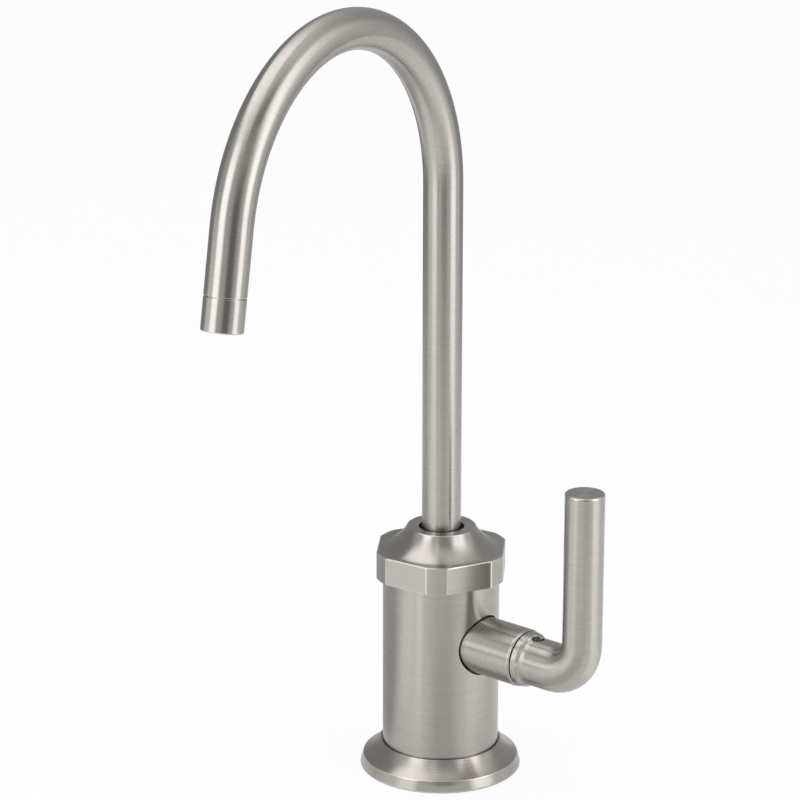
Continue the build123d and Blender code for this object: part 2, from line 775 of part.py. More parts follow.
with BuildPart() as stem_circlip:
    with BuildSketch(handle_plane(circlip_start)):
        ring(circlip_bore + circlip_width, circlip_bore)
        half_gap = radians(circlip_gap_angle / 2)
        mouth = (2 * stem_radius * sin(half_gap), -2 * stem_radius * cos(half_gap))
        Polygon((0, 0), (-mouth[0], mouth[1]), mouth, align=None, mode=Mode.SUBTRACT)
    extrude(amount=circlip_thickness)
stem_circlip.part.label = "stem_circlip"

# Lever: hub ring, stem, an elbow that tapers from the hub down to the grip, and the upright grip,
# cast in one piece, bored for the cartridge stem and tapped for the set screw.
with BuildPart() as lever_handle:
    with BuildSketch(handle_section):
        outline(
            (hub_face, 0),
            (hub_face, hub_ring_radius),
            (ring_end - hub_chamfer_length, hub_ring_radius - hub_ring_taper),
            (ring_end, hub_ring_radius - hub_ring_taper - hub_chamfer_drop),
            (ring_end, hub_radius),
            (elbow_start, hub_radius),
            (elbow_start, 0),
        )
    revolve(axis=handle_axis)
    for station in range(elbow_stations + 1):
        share = station / elbow_stations
        angle = share * pi / 2
        place = Plane(
            origin=(elbow_start + elbow_radius * sin(angle), 0, elbow_top - elbow_radius * cos(angle)),
            x_dir=(0, 1, 0),
            z_dir=(cos(angle), 0, sin(angle)),
        )
        with BuildSketch(place):
            Circle(hub_radius + (grip_radius - hub_radius) * share * share * (3 - 2 * share))
    loft()
    with BuildSketch(Plane.XY.offset(elbow_top)):
        with Locations((grip_x, 0)):
            Circle(grip_radius)
    extrude(amount=grip_length - elbow_radius)
    fillet(lever_handle.edges().group_by(Axis.Z)[-1], grip_edge)
    with BuildSketch(handle_plane(hub_face)):
        Circle(stem_radius + thread_gap)
    extrude(amount=stem_reach + slip_gap, mode=Mode.SUBTRACT)
    with BuildSketch(Plane.XY.offset(handle_height)):
        with Locations((set_screw_x, 0)):
            Circle(set_screw_radius + thread_gap)
    extrude(amount=bonnet_radius, mode=Mode.SUBTRACT)
lever_handle.part.label = "lever_handle"

with BuildPart() as lever_set_screw:
    with BuildSketch(Plane.XY.offset(set_screw_tip)):
        with Locations((set_screw_x, 0)):
            Circle(set_screw_radius)
    extrude(amount=set_screw_top - set_screw_tip)
    with BuildSketch(Plane.XY.offset(set_screw_top)):
        with Locations((set_screw_x, 0)):
            across_flats(set_screw_socket)
    extrude(amount=-set_screw_socket_depth, mode=Mode.SUBTRACT)
lever_set_screw.part.label = "lever_set_screw"

os.makedirs("parts", exist_ok=True)
for piece in (
    base_flange,
    base_gasket,
    barrel_sleeve,
    valve_body,
    mounting_shank,
    rubber_washer,
    metal_washer,
    lock_nut,
    inlet_gasket,
    inlet_fitting,
    cap_nut,
    swivel_washer,
    swivel_bearing,
    spout_foot,
    spout_o_rings,
    spout_tube,
    outlet_collar,
    aerator_gasket,
    aerator_housing,
    flow_straightener,
    aerator_screen,
    bonnet,
    cartridge_housing,
    cartridge_seal,
    fixed_disc,
    moving_disc,
    cartridge_stem,
    stem_o_rings,
    stem_circlip,
    lever_handle,
    lever_set_screw,
):
    export_step(piece.part, f"parts/{piece.part.label}.step")
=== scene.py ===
"""Cold water dispenser faucet: fine surfaces, finishes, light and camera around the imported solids.

Sizes are in millimetres until a mesh is made, which is in metres. A turned piece is drawn as an
outline of corners, each with its place along the piece's own axis and its distance out from it.
"""

import logging
import math
from collections.abc import Callable, Sequence
from dataclasses import dataclass, field, replace
from enum import Enum
from functools import cache

import bmesh
import bpy
import numpy as np
from mathutils import Matrix, Vector


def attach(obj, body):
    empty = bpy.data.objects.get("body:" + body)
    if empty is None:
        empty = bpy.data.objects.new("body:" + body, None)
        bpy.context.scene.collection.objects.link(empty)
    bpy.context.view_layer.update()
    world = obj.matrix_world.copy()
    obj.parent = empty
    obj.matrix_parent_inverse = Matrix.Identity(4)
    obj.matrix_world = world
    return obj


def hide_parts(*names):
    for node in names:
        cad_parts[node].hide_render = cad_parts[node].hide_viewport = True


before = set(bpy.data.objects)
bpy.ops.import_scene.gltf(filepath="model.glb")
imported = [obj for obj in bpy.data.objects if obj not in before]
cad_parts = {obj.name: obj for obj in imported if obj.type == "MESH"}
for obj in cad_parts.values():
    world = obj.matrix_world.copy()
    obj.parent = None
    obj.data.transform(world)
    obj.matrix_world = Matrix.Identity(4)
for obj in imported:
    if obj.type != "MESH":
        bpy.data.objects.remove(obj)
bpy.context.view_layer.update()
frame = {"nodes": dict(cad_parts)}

MM = 0.001
FULL_TURN = 2 * math.pi
# How far apart, in metres, two points are still one.
WELD = 2e-7
# The rounding of a machined edge that is left crisp, in millimetres.
CRISP = 0.1
WHITE = (1.0, 1.0, 1.0, 1.0)
UV_NAME = "UVMap"
# Name of the point attribute that marks sharp outer edges for a painted highlight.
EDGE_HIGHLIGHT_NAME = "edge_highlight"
log = logging.getLogger("faucet")

Source = bpy.types.NodeSocket | float | int | tuple[float, ...]
Sockets = dict[str, tuple[str, float | None]]
Colour = tuple[float, float, float]
Pair = tuple[float, float]
Rows = tuple[int, int]


class Slot(Enum):
    """The record's material slots."""

    NICKEL = "brushed_nickel"
    BRASS = "brass"
    RUBBER = "rubber"
    STEEL = "stainless_steel"
    ACETAL = "acetal"
    PLASTIC = "grey_plastic"
    CERAMIC = "ceramic"


class Body(Enum):
    """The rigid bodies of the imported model."""

    FAUCET = "faucet_body"
    SPOUT = "spout"
    HANDLE = "handle"


class Graph:
    """Fills one node tree."""

    def __init__(self, tree: bpy.types.NodeTree) -> None:
        """Starts on an empty tree."""
        self.tree = tree

    def feed(self, socket: bpy.types.NodeSocket, value: Source) -> None:
        """Links a socket to another, or sets its value.

        Args:
            socket: the input to fill.
            value: an output socket to link, or a plain value.
        """
        if isinstance(value, bpy.types.NodeSocket):
            self.tree.links.new(value, socket)
        else:
            socket.default_value = value

    def add(
        self, kind: str, inputs: dict[int | str, Source] | None = None, **settings: object
    ) -> bpy.types.Node:
        """Adds a node.

        Args:
            kind: the node's type name.
            inputs: what goes into its sockets, by name or number.
            **settings: properties of the node.

        Returns:
            The new node.
        """
        node = self.tree.nodes.new(kind)
        for name, value in settings.items():
            setattr(node, name, value)
        for key, value in (inputs or {}).items():
            self.feed(node.inputs[key], value)
        return node

    def math(self, operation: str, *values: Source) -> bpy.types.NodeSocket:
        """Adds a Math node and returns its output."""
        return self.add("ShaderNodeMath", dict(enumerate(values)), operation=operation).outputs[0]

    def between(self, value: Source, low: Source, high: Source) -> bpy.types.NodeSocket:
        """Holds a value between two limits."""
        return self.math("MAXIMUM", self.math("MINIMUM", value, high), low)

    def point(self, x: Source, y: Source, z: Source) -> bpy.types.NodeSocket:
        """Joins three numbers into a vector."""
        return self.add("ShaderNodeCombineXYZ", {0: x, 1: y, 2: z}).outputs[0]

    def mix(self, share: Source, first: Source, second: Source) -> bpy.types.NodeSocket:
        """Mixes two colours by a share."""
        return self.add("ShaderNodeMix", {0: share, 6: first, 7: second}, data_type="RGBA").outputs[2]

    def sockets(self, inputs: Sockets, outputs: dict[str, str]) -> tuple[bpy.types.Node, bpy.types.Node]:
        """Makes the tree's own sockets.

        Args:
            inputs: name, then socket kind and default value, of each input.
            outputs: name, then socket kind, of each output.

        Returns:
            The group's input node and its output node.
        """
        for name, (kind, value) in inputs.items():
            socket = self.tree.interface.new_socket(name, in_out="INPUT", socket_type=kind)
            if value is not None:
                socket.default_value = value
        for name, kind in outputs.items():
            self.tree.interface.new_socket(name, in_out="OUTPUT", socket_type=kind)
        return self.tree.nodes.new("NodeGroupInput"), self.tree.nodes.new("NodeGroupOutput")


def blank_graph(owner: bpy.types.Material | bpy.types.World | bpy.types.Light) -> Graph:
    """Empties the node tree of a material, world or lamp.

    Args:
        owner: what the tree belongs to.

    Returns:
        The graph that fills it.
    """
    owner.use_nodes = True
    owner.node_tree.nodes.clear()
    return Graph(owner.node_tree)


def placed(name: str, data: bpy.types.ID) -> bpy.types.Object:
    """Puts a mesh, lamp or camera into the scene.

    Args:
        name: the new object's name.
        data: what it shows.

    Returns:
        The new object.
    """
    made = bpy.data.objects.new(name, data)
    bpy.context.scene.collection.objects.link(made)
    return made


@dataclass(frozen=True)
class Corner:
    """A corner of a turned outline.

    Attributes:
        along: place along the piece's axis.
        out: distance from the axis.
        radius: rounding of the corner, 0 where the outline runs on smoothly.
    """

    along: float
    out: float
    radius: float = 0.0


def hollow(start: Pair, end: Pair, depth: float, steps: int = 20) -> list[Corner]:
    """Points of an arc between two points, without the points themselves.

    Args:
        start: where the arc begins, as (along, out).
        end: where it ends.
        depth: how far its middle lies to the left of the straight line.
        steps: how many runs the arc has.

    Returns:
        The points between, as smooth corners.
    """
    first, last = np.array(start), np.array(end)
    half = np.linalg.norm(last - first) / 2
    run = (last - first) / (2 * half)
    left = np.array([-run[1], run[0]])
    radius = (half * half + depth * depth) / (2 * depth)
    centre = (first + last) / 2 + left * (depth - radius)
    reach = math.asin(half / radius)
    angles = np.linspace(-reach, reach, steps + 1)[1:-1]
    points = centre + radius * (np.outer(np.cos(angles), left) + np.outer(np.sin(angles), run))
    return [Corner(float(along), float(out)) for along, out in points]


def rounded(here: np.ndarray, before: np.ndarray, after: np.ndarray, radius: float) -> list[np.ndarray]:
    """A corner's rounding, with a point close beside each of its ends.

    Args:
        here: the sharp corner.
        before: the corner before it.
        after: the corner after it.
        radius: how round it is, where both sides are long enough.

    Returns:
        The points in order.
    """
    step, fewest_runs = math.radians(15), 3
    longest_tangent, longest_support, support = 0.4, 0.1, 0.12
    to_last, to_next = before - here, after - here
    room = min(np.linalg.norm(to_last), np.linalg.norm(to_next))
    to_last, to_next = to_last / np.linalg.norm(to_last), to_next / np.linalg.norm(to_next)
    opening = math.acos(float(np.clip(to_last @ to_next, -1, 1)))
    turn = math.pi - opening
    tangent = min(radius / math.tan(opening / 2), longest_tangent * room)
    inward = (to_last + to_next) / np.linalg.norm(to_last + to_next)
    centre = here + inward * (tangent * math.tan(opening / 2)) / math.sin(opening / 2)
    start, end = here + to_last * tangent, here + to_next * tangent
    arc = [
        centre + (math.sin(turn - done) * (start - centre) + math.sin(done) * (end - centre)) / math.sin(turn)
        for done in np.linspace(0, 1, max(fewest_runs, math.ceil(turn / step)) + 1) * turn
    ]
    beside = min(support, longest_support * room)
    return [start + to_last * beside, *arc, end + to_next * beside]


def traced(corners: Sequence[Corner], closed: bool = False) -> np.ndarray:
    """The points of an outline, with its corners rounded.

    Args:
        corners: the outline's corners in order.
        closed: whether the last corner joins the first.

    Returns:
        The outline's points, as rows of (along, out).
    """
    places = [np.array([corner.along, corner.out]) for corner in corners]
    points: list[np.ndarray] = []
    for number, corner in enumerate(corners):
        at_end = not closed and number in (0, len(corners) - 1)
        if corner.radius <= 0 or at_end:
            points.append(places[number])
            continue
        before, after = places[number - 1], places[(number + 1) % len(corners)]
        points += rounded(places[number], before, after, corner.radius)
    return np.array([*points, points[0]] if closed else points)


def straight(along: np.ndarray, out: float) -> np.ndarray:
    """A run of an outline that stays at one distance from the axis."""
    return np.stack([along, np.full_like(along, out)], -1)


def spaced(points: np.ndarray, longest: float) -> np.ndarray:
    """The outline with its long runs divided.

    Args:
        points: rows of (along, out).
        longest: the longest run that stays whole.

    Returns:
        The divided outline.
    """
    rows = [points[0]]
    for start, end in zip(points[:-1], points[1:]):
        count = max(1, math.ceil(np.linalg.norm(end - start) / longest))
        rows.extend(start + (end - start) * share for share in np.linspace(0, 1, count + 1)[1:])
    return np.array(rows)


def lengths(points: np.ndarray) -> np.ndarray:
    """Distance travelled along an outline at each of its points."""
    return np.concatenate([[0.0], np.cumsum(np.linalg.norm(np.diff(points, axis=0), axis=1))])


def facing_out(mesh: bpy.types.Mesh, weld: bool = False) -> bpy.types.Mesh:
    """Cleans a closed mesh and turns its faces outwards.

    Args:
        mesh: the mesh, in metres.
        weld: whether points in one place are joined. Otherwise only edges without length go.

    Returns:
        The same mesh.
    """
    work = bmesh.new()
    work.from_mesh(mesh)
    if weld:
        bmesh.ops.remove_doubles(work, verts=work.verts, dist=WELD)
    else:
        bmesh.ops.dissolve_degenerate(work, edges=work.edges, dist=WELD)
    bmesh.ops.recalc_face_normals(work, faces=work.faces)
    if work.calc_volume(signed=True) < 0:
        bmesh.ops.reverse_faces(work, faces=work.faces)
    work.to_mesh(mesh)
    work.free()
    return mesh


class Shell:
    """A mesh under construction along the local X axis, with brush lines running round it.

    The UV map holds the distance along the surface, in metres, and the turn round the axis, from 0 to 1.
    """

    def __init__(self) -> None:
        """Starts with nothing."""
        self.points: list[np.ndarray] = []
        self.charts: list[np.ndarray] = []
        self.faces: list[np.ndarray] = []
        self.count = 0

    def grid(self, places: np.ndarray, charts: np.ndarray, keep: np.ndarray | None = None) -> None:
        """Adds a grid of points as quads.

        Args:
            places: rows x columns x 3 places.
            charts: rows x columns x 2 UVs.
            keep: which of the cells are wanted, or None for all.
        """
        rows, columns = places.shape[:2]
        index = np.arange(rows * columns).reshape(rows, columns) + self.count
        cells = np.stack([index[:-1, :-1], index[1:, :-1], index[1:, 1:], index[:-1, 1:]], -1)
        self.faces.append(cells[keep] if keep is not None else cells.reshape(-1, 4))
        self.points.append(places.reshape(-1, 3))
        self.charts.append(charts.reshape(-1, 2))
        self.count += rows * columns

    def turned(self, points: np.ndarray, segments: int = 96, keep: np.ndarray | None = None) -> None:
        """Turns an outline about the local X axis.

        Args:
            points: the outline's points, as rows of (along, out).
            segments: how many columns go round.
            keep: which of the cells are wanted, or None for all.
        """
        angles = np.linspace(0, FULL_TURN, segments + 1)
        self.columns(points[:, 0], points[:, 1], lengths(points), angles, keep)

    def shaped(
        self, corners_at: Callable[[float], list[Corner]], angles: np.ndarray, closed: bool = False
    ) -> None:
        """Builds a surface whose outline changes with the angle about the axis.

        Args:
            corners_at: gives the outline's corners at an angle.
            angles: the columns' angles.
            closed: whether the outline's last corner joins its first.
        """
        outlines = np.stack([traced(corners_at(float(angle)), closed) for angle in angles], 1)
        self.columns(outlines[..., 0], outlines[..., 1], lengths(outlines[:, 0]), angles)

    def columns(
        self,
        along: np.ndarray,
        out: np.ndarray,
        travel: np.ndarray,
        angles: np.ndarray,
        keep: np.ndarray | None = None,
    ) -> None:
        """Adds a surface given by its distance out at each row and angle.

        Args:
            along: place along the axis, for each row or for each row and angle.
            out: distance from the axis, for each row or for each row and angle.
            travel: distance along the surface at each row, for the UV map.
            angles: the columns' angles about the axis.
            keep: which of the cells are wanted, or None for all.
        """
        shape = (len(travel), len(angles))
        along = np.broadcast_to(along.reshape(len(travel), -1), shape)
        out = np.broadcast_to(out.reshape(len(travel), -1), shape)
        places = np.stack([along, -out * np.sin(angles), out * np.cos(angles)], -1)
        travel = np.broadcast_to(travel[:, None] * MM, shape)
        turn = np.broadcast_to(angles / FULL_TURN, shape)
        self.grid(places, np.stack([travel, turn], -1), keep)

    def mesh(self, name: str, matrix: Matrix | None = None) -> bpy.types.Mesh:
        """Welds the faces into one closed mesh that faces outwards.

        Args:
            name: the mesh's name.
            matrix: where the local frame stands in the row frame, in metres.

        Returns:
            The mesh, in metres.
        """
        points, charts = np.concatenate(self.points), np.concatenate(self.charts)
        faces = np.concatenate(self.faces)
        mesh = bpy.data.meshes.new(name)
        mesh.from_pydata((points * MM).tolist(), [], faces.tolist())
        layer = mesh.uv_layers.new(name=UV_NAME)
        layer.data.foreach_set("uv", charts[faces.ravel()].astype(np.float32).ravel())
        facing_out(mesh, weld=True)
        mesh.shade_smooth()
        if matrix is not None:
            mesh.transform(matrix)
        return mesh


@dataclass(frozen=True)
class SideHole:
    """A round hole through a turned wall, square to its axis, on its local +Z side.

    Attributes:
        along: place of its centre along the axis.
        radius: its radius.
        rim: rounding of its outer edge.
        half_window: how many columns each side the surface round it takes up.
        rings: how many rings of faces lie between the hole and that window.
        crowding: how much closer together the rings lie near the hole, where 1 is evenly.
        rim_steps: how many rings of faces the rim has.
        bore_steps: how many rings of faces the bore has.
    """

    along: float
    radius: float
    rim: float
    half_window: int
    rings: int = 10
    crowding: float = 1.3
    rim_steps: int = 4
    bore_steps: int = 5

    def border(self, columns: int, rows: Sequence[int]) -> list[Rows]:
        """The window's border, as (row, column) pairs in order round it.

        Args:
            columns: how many columns the surface has.
            rows: the window's rows, in order along the axis.

        Returns:
            The pairs, ending where they started.
        """
        side = self.half_window
        pairs = [(row, side) for row in rows[:-1]]
        pairs += [(rows[-1], column) for column in range(side, -side, -1)]
        pairs += [(row, -side) for row in rows[:0:-1]]
        pairs += [(rows[0], column) for column in range(-side, side + 1)]
        return [(row, column % columns) for row, column in pairs]

    def wanted(self, rows: int, columns: int, windows: Sequence[Rows]) -> np.ndarray:
        """Which cells of the surface stay, outside the windows.

        Args:
            rows: how many rows of cells there are.
            columns: how many columns of cells there are.
            windows: first and last row of each window.

        Returns:
            True for each cell that stays.
        """
        keep = np.ones((rows, columns), bool)
        for low, high in windows:
            keep[low:high, : self.half_window] = False
            keep[low:high, -self.half_window :] = False
        return keep

    def edge(self, points: np.ndarray, columns: int, window: Rows) -> np.ndarray:
        """The window's border as it is seen along the hole.

        Args:
            points: the outline's points, as rows of (along, out).
            columns: how many columns the turned surface has.
            window: its first and last row.

        Returns:
            Its places as rows of (along, side), from the hole's centre.
        """
        low, high = window
        order = low + np.argsort(points[low : high + 1, 0])
        row, column = np.array(self.border(columns, order.tolist())).T
        side = -points[row, 1] * np.sin(column * FULL_TURN / columns)
        return np.stack([points[row, 0] - self.along, side], -1)

    def plan(self, edge: np.ndarray, turns: np.ndarray, rim: float) -> tuple[np.ndarray, np.ndarray]:
        """The rings between the hole and the window's border, as they are seen along the hole.

        Args:
            edge: the border's places.
            turns: the angle about the hole at which the rings meet each of them.
            rim: rounding of the hole's edge.

        Returns:
            The rings' places, and how far each ring drops below the wall's surface.
        """
        circle = np.stack([np.cos(turns), np.sin(turns)], -1)[None]
        shares = (np.linspace(0, 1, self.rings + 1) ** self.crowding)[:, None, None]
        rings = circle * (self.radius + rim) * (1 - shares) + edge[None] * shares
        drops = np.zeros(self.rings + 1)
        if rim:
            bend = np.linspace(math.pi / 2, 0, self.rim_steps + 1)[:-1]
            rings = np.concatenate([circle * (self.radius + rim * (1 - np.sin(bend)))[:, None, None], rings])
            drops = np.concatenate([rim * (1 - np.cos(bend)), drops])
        return rings, drops

    def mouth(
        self, shell: Shell, points: np.ndarray, window: Rows, rings: np.ndarray, drops: np.ndarray
    ) -> np.ndarray:
        """Adds the surface round the hole on one side of the wall.

        Args:
            shell: the mesh to add to.
            points: the outline's points, as rows of (along, out).
            window: first and last row of the window in that side.
            rings: the rings' places along and aside.
            drops: how far each ring drops below the wall's surface.

        Returns:
            The hole's edge, as rows of along, side, height, travel and turn.
        """
        low, high = window
        order = low + np.argsort(points[low : high + 1, 0])
        along, side = rings[..., 0] + self.along, rings[..., 1]
        out = np.interp(along, points[order, 0], points[order, 1]) - drops[:, None]
        height = np.sqrt(out**2 - side**2)
        travel = np.interp(along, points[order, 0], lengths(points)[order])
        turn = np.arctan2(-side, height) / FULL_TURN
        shell.grid(np.stack([along, side, height], -1), np.stack([travel * MM, turn], -1))
        return np.stack([along[0], side[0], height[0], travel[0], turn[0]])

    def pierce(self, shell: Shell, points: np.ndarray, columns: int, outer: Rows, inner: Rows) -> None:
        """Adds the surfaces round the hole on both sides of the wall, its rounded rim and its bore.

        Args:
            shell: the mesh to add to.
            points: the outline's points, as rows of (along, out).
            columns: how many columns the turned surface has.
            outer: first and last row of the window in the outer wall.
            inner: first and last row of the window in the inner wall, as many rows apart.
        """
        edges = [self.edge(points, columns, window) for window in (outer, inner)]
        turns = np.unwrap(np.arctan2(edges[0][:, 1], edges[0][:, 0]))
        rings = self.plan(edges[0], turns, self.rim)
        along, side, top, travel, turn = self.mouth(shell, points, outer, *rings)
        bottom = self.mouth(shell, points, inner, *self.plan(edges[1], turns, 0.0))[2]
        depth = np.linspace(0, 1, self.bore_steps + 1)[:, None]
        height = top * (1 - depth) + bottom * depth
        along, side, turn = (np.broadcast_to(row, height.shape) for row in (along, side, turn))
        shell.grid(np.stack([along, side, height], -1), np.stack([(travel + top - height) * MM, turn], -1))


def blank_tree(name: str, inputs: Sockets) -> tuple[Graph, bpy.types.Node, bpy.types.Node]:
    """Starts a Geometry Nodes tree that takes and gives a mesh.

    Args:
        name: the tree's name.
        inputs: name, then socket kind and default value, of each further input.

    Returns:
        The graph, its input node and its output node.
    """
    graph = Graph(bpy.data.node_groups.new(name, "GeometryNodeTree"))
    sockets = {"Geometry": ("NodeSocketGeometry", None), **inputs, "Material": ("NodeSocketMaterial", None)}
    start, end = graph.sockets(sockets, {"Geometry": "NodeSocketGeometry"})
    return graph, start, end


def finish_tree(
    graph: Graph, start: bpy.types.Node, end: bpy.types.Node, geometry: bpy.types.NodeSocket
) -> None:
    """Ends a tree in Realize Instances and Set Material.

    Args:
        graph: the tree's graph.
        start: its input node.
        end: its output node.
        geometry: what it has made.
    """
    realized = graph.add("GeometryNodeRealizeInstances", {0: geometry})
    inputs = {"Geometry": realized.outputs[0], "Material": start.outputs["Material"]}
    graph.feed(end.inputs[0], graph.add("GeometryNodeSetMaterial", inputs).outputs[0])


def bent_bar_tree() -> bpy.types.NodeTree:
    """Bends a straight bar along X round one elbow towards +Z, keeping its sections square to the path.

    Returns:
        A tree with the inputs Start, Radius and Angle.
    """
    lengths_in = {name: ("NodeSocketFloat", 0.0) for name in ("Start", "Radius", "Angle")}
    graph, start, end = blank_tree("bent_bar", lengths_in)
    place = graph.add("ShaderNodeSeparateXYZ", {0: graph.add("GeometryNodeInputPosition").outputs[0]})
    along, side, up = place.outputs
    begin, radius, angle = (start.outputs[name] for name in ("Start", "Radius", "Angle"))
    past = graph.math("SUBTRACT", along, begin)
    arc = graph.math("MULTIPLY", radius, angle)
    turned = graph.math("DIVIDE", graph.between(past, 0.0, arc), radius)
    before = graph.math("MINIMUM", along, begin)
    after = graph.math("MAXIMUM", graph.math("SUBTRACT", past, arc), 0.0)
    sine, cosine = graph.math("SINE", turned), graph.math("COSINE", turned)
    arm = graph.math("SUBTRACT", radius, up)
    beyond = graph.math("MULTIPLY_ADD", arm, sine, graph.math("MULTIPLY", after, cosine))
    x = graph.math("ADD", before, beyond)
    fall = graph.math("SUBTRACT", radius, graph.math("MULTIPLY", arm, cosine))
    z = graph.math("MULTIPLY_ADD", after, sine, fall)
    spot = {"Geometry": start.outputs[0], "Position": graph.point(x, side, z)}
    finish_tree(graph, start, end, graph.add("GeometryNodeSetPosition", spot).outputs[0])
    return graph.tree


def thread_tree() -> bpy.types.NodeTree:
    """Lays a screw thread round the local X axis and welds it to the plain rest of the piece.

    Rows of points follow the thread, so that its crests stay true. Beyond both ends they fall
    together on a plain circle, which meets the rest of the piece.

    Returns:
        A tree with the inputs Crest, Depth, Pitch, From, To, Turns and Columns.
    """
    rows_per_turn, flank_slope, root_width, weld = 8, 2.6, 0.15, 2e-6
    sizes = {name: ("NodeSocketFloat", 0.0) for name in ("Crest", "Depth", "Pitch", "From", "To")}
    counts = {name: ("NodeSocketInt", 1) for name in ("Turns", "Columns")}
    graph, start, end = blank_tree("screw_thread", {**sizes, **counts})
    crest, depth, pitch, low, high = (start.outputs[name] for name in sizes)
    turns, columns = (start.outputs[name] for name in counts)
    rows = graph.math("MULTIPLY", graph.math("ADD", turns, 1), rows_per_turn)
    points = {2: graph.math("ADD", rows, 1), 3: graph.math("ADD", columns, 1)}
    sheet = graph.add("GeometryNodeMeshGrid", {0: 1.0, 1: 1.0, **points})
    place = graph.add("ShaderNodeSeparateXYZ", {0: sheet.outputs["UV Map"]})
    run = graph.math("SUBTRACT", graph.math("MULTIPLY", place.outputs[0], graph.math("ADD", turns, 1)), 1.0)
    turn = place.outputs[1]
    along = graph.math("MULTIPLY_ADD", graph.math("ADD", run, turn), pitch, low)
    held = graph.between(along, low, high)
    to_end = graph.math("MINIMUM", graph.math("SUBTRACT", held, low), graph.math("SUBTRACT", high, held))
    fade = graph.between(graph.math("DIVIDE", to_end, pitch), 0.0, 1.0)
    ridge = graph.math("PINGPONG", run, 0.5)
    flat = graph.between(graph.math("MULTIPLY_ADD", ridge, flank_slope, -root_width), 0.0, 1.0)
    root = graph.math("SUBTRACT", crest, depth)
    out = graph.math("MULTIPLY_ADD", graph.math("MULTIPLY", flat, fade), depth, root)
    angle = graph.math("MULTIPLY", turn, FULL_TURN)
    spot = graph.point(
        held,
        graph.math("MULTIPLY", graph.math("MULTIPLY", out, graph.math("SINE", angle)), -1.0),
        graph.math("MULTIPLY", out, graph.math("COSINE", angle)),
    )
    named = graph.add(
        "GeometryNodeStoreNamedAttribute",
        {"Geometry": sheet.outputs[0], "Name": UV_NAME, "Value": graph.point(held, turn, 0.0)},
        data_type="FLOAT2",
        domain="CORNER",
    )
    moved = graph.add("GeometryNodeSetPosition", {"Geometry": named.outputs[0], "Position": spot})
    joined = graph.add("GeometryNodeJoinGeometry")
    for part in (start.outputs[0], moved.outputs[0]):
        graph.tree.links.new(part, joined.inputs[0])
    welded = graph.add("GeometryNodeMergeByDistance", {"Geometry": joined.outputs[0], "Distance": weld})
    smooth = graph.add("GeometryNodeSetShadeSmooth", {"Geometry": welded.outputs[0]})
    finish_tree(graph, start, end, smooth.outputs[0])
    return graph.tree


def run_tree(mesh: bpy.types.Mesh, tree: bpy.types.NodeTree, values: dict[str, object]) -> bpy.types.Mesh:
    """Runs a Geometry Nodes tree on a mesh and gives the plain result.

    Args:
        mesh: what goes into the tree.
        tree: the tree.
        values: its named inputs.

    Returns:
        The finished mesh.
    """
    carrier = placed(mesh.name + "_blank", mesh)
    modifier = carrier.modifiers.new(tree.name, "NODES")
    modifier.node_group = tree
    for item in tree.interface.items_tree:
        if item.item_type == "SOCKET" and item.in_out == "INPUT" and item.name in values:
            modifier[item.identifier] = values[item.name]
    evaluated = carrier.evaluated_get(bpy.context.evaluated_depsgraph_get())
    result = bpy.data.meshes.new_from_object(evaluated)
    carrier.modifiers.clear()
    bpy.data.objects.remove(carrier)
    return result


def mark_edge_highlight(mesh: bpy.types.Mesh, mild: float) -> None:
    """Stores how much each point of a mesh lies on a sharp outer edge, where the metal's colour gets a
    painted highlight.

    Args:
        mesh: a closed mesh in metres.
        mild: curvature in radians per metre at which the painted highlight starts. At five times that it is
            full.
    """
    sharp, shortest = 5 * mild, 1e-6
    work = bmesh.new()
    work.from_mesh(mesh)
    edge_lit = np.zeros(len(work.verts), np.float32)
    for edge in work.edges:
        if len(edge.link_faces) != 2 or not edge.is_convex:
            continue
        first, second = edge.link_faces
        apart = (first.calc_center_median() - second.calc_center_median()).length
        bend = edge.calc_face_angle(0.0) / max(apart, shortest)
        share = min(max((bend - mild) / (sharp - mild), 0.0), 1.0)
        for point in edge.verts:
            edge_lit[point.index] = max(edge_lit[point.index], share)
    work.free()
    mesh.attributes.new(EDGE_HIGHLIGHT_NAME, "FLOAT", "POINT").data.foreach_set("value", edge_lit)


class Finish:
    """A procedural material that is built once."""

    label: str
    slot: Slot

    def fill(self, graph: Graph, shader: bpy.types.Node) -> None:
        """Fills the material's nodes before its shader."""
        raise NotImplementedError

    def material(self) -> bpy.types.Material:
        """Makes the material at the first call.

        Returns:
            The material.
        """
        name = f"{type(self).__name__}_{self.label}"
        made = bpy.data.materials.get(name)
        if made is None:
            made = bpy.data.materials.new(name)
            graph = blank_graph(made)
            shader = graph.add("ShaderNodeBsdfPrincipled")
            graph.add("ShaderNodeOutputMaterial", {"Surface": shader.outputs[0]})
            self.fill(graph, shader)
        return made


